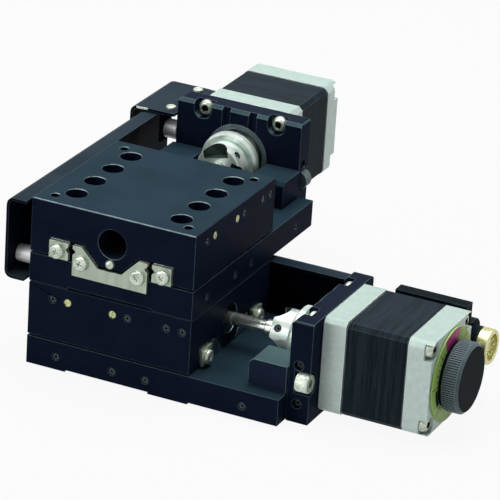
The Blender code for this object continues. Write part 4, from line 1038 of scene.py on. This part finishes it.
# The camera is fitted to straight edges of the photograph: angles in degrees, place in metres
CAMERA_TURN, CAMERA_TILT, CAMERA_ROLL = 24.241, 23.385, 3.714
CAMERA_PLACE = (0.5147, -1.1979, 0.5981)
CAMERA_LENS = 257.873
CAMERA_SENSOR = 36

# Each lamp's name, place, target and size in metres, power in watts and color
LAMPS = (
    ("overhead", (-0.1, 0.15, 1.2), (0, 0, 0.05), 1.1, 18, (0.97, 1, 0.99)),
    ("front_left", (-0.8, -1.1, 0.55), (0, 0, 0.04), 0.8, 5.2, (0.97, 0.98, 1)),
    ("right", (1.2, -0.2, 0.6), (0, 0, 0.04), 0.6, 0.1, (1, 1, 1)),
)
SOFT_LIGHT = 0.06
FLOOR_TONE = 0.5
FLOOR_GLOW = 0.92


def make_camera():
    turn, tilt, roll = (math.radians(angle) for angle in (CAMERA_TURN, CAMERA_TILT, CAMERA_ROLL))
    level = math.cos(tilt)
    back = Vector((math.sin(turn) * level, -math.cos(turn) * level, math.sin(tilt)))
    right = Vector((math.cos(turn), math.sin(turn), 0))
    up = back.cross(right)
    across = right * math.cos(roll) + up * math.sin(roll)
    upright = up * math.cos(roll) - right * math.sin(roll)
    data = bpy.data.cameras.new("camera")
    data.lens = CAMERA_LENS
    data.sensor_width = CAMERA_SENSOR
    camera = bpy.data.objects.new("camera", data)
    camera.matrix_world = Matrix.Translation(CAMERA_PLACE) @ Matrix(
        (across, upright, back)
    ).transposed().to_4x4()
    bpy.context.scene.collection.objects.link(camera)
    bpy.context.scene.camera = camera


def make_lamp(name, spot, target, size, power, color):
    data = bpy.data.lights.new(name, "AREA")
    data.size = size
    data.energy = power
    data.color = color
    lamp = bpy.data.objects.new(name, data)
    lamp.location = spot
    lamp.rotation_euler = (Vector(target) - Vector(spot)).to_track_quat("-Z", "Y").to_euler()
    bpy.context.scene.collection.objects.link(lamp)


def seen_directly(tree):
    """1 for rays from the camera, a mirror or a lens, 0 for the light on the object."""
    path = tree.nodes.new("ShaderNodeLightPath")
    total = path.outputs["Is Camera Ray"]
    for key in ("Is Glossy Ray", "Is Transmission Ray"):
        either = tree.nodes.new("ShaderNodeMath")
        either.operation = "MAXIMUM"
        tree.links.new(total, either.inputs[0])
        tree.links.new(path.outputs[key], either.inputs[1])
        total = either.outputs["Value"]
    return total


def make_world():
    world = bpy.data.worlds.new("studio")
    world.use_nodes = True
    tree = world.node_tree
    soft = tree.nodes["Background"]
    soft.inputs["Color"].default_value = (0.9, 0.96, 1, 1)
    soft.inputs["Strength"].default_value = SOFT_LIGHT
    white = tree.nodes.new("ShaderNodeBackground")
    white.inputs["Color"].default_value = (1, 1, 1, 1)
    white.inputs["Strength"].default_value = 1
    mix = tree.nodes.new("ShaderNodeMixShader")
    tree.links.new(seen_directly(tree), mix.inputs[0])
    tree.links.new(soft.outputs[0], mix.inputs[1])
    tree.links.new(white.outputs[0], mix.inputs[2])
    tree.links.new(mix.outputs[0], tree.nodes["World Output"].inputs[0])
    bpy.context.scene.world = world


def make_floor():
    bpy.ops.object.select_all(action="DESELECT")
    bpy.ops.mesh.primitive_plane_add(size=8, location=(0, 0, 0))
    floor = bpy.context.object
    floor.name = "floor"
    look = bpy.data.materials.new("floor_paper")
    look.use_nodes = True
    tree = look.node_tree
    shader = tree.nodes["Principled BSDF"]
    shader.inputs["Base Color"].default_value = (FLOOR_TONE, FLOOR_TONE, FLOOR_TONE, 1)
    shader.inputs["Roughness"].default_value = 0.9
    glow = tree.nodes.new("ShaderNodeEmission")
    share = tree.nodes.new("ShaderNodeMath")
    share.operation = "MULTIPLY"
    share.inputs[1].default_value = FLOOR_GLOW
    mix = tree.nodes.new("ShaderNodeMixShader")
    tree.links.new(seen_directly(tree), share.inputs[0])
    tree.links.new(share.outputs[0], mix.inputs[0])
    tree.links.new(shader.outputs[0], mix.inputs[1])
    tree.links.new(glow.outputs[0], mix.inputs[2])
    tree.links.new(mix.outputs[0], tree.nodes["Material Output"].inputs[0])
    floor.data.materials.append(look)


make_stage()
make_camera()
for lamp in LAMPS:
    make_lamp(*lamp)
make_world()
make_floor()
bpy.context.scene.view_settings.view_transform = "Standard"
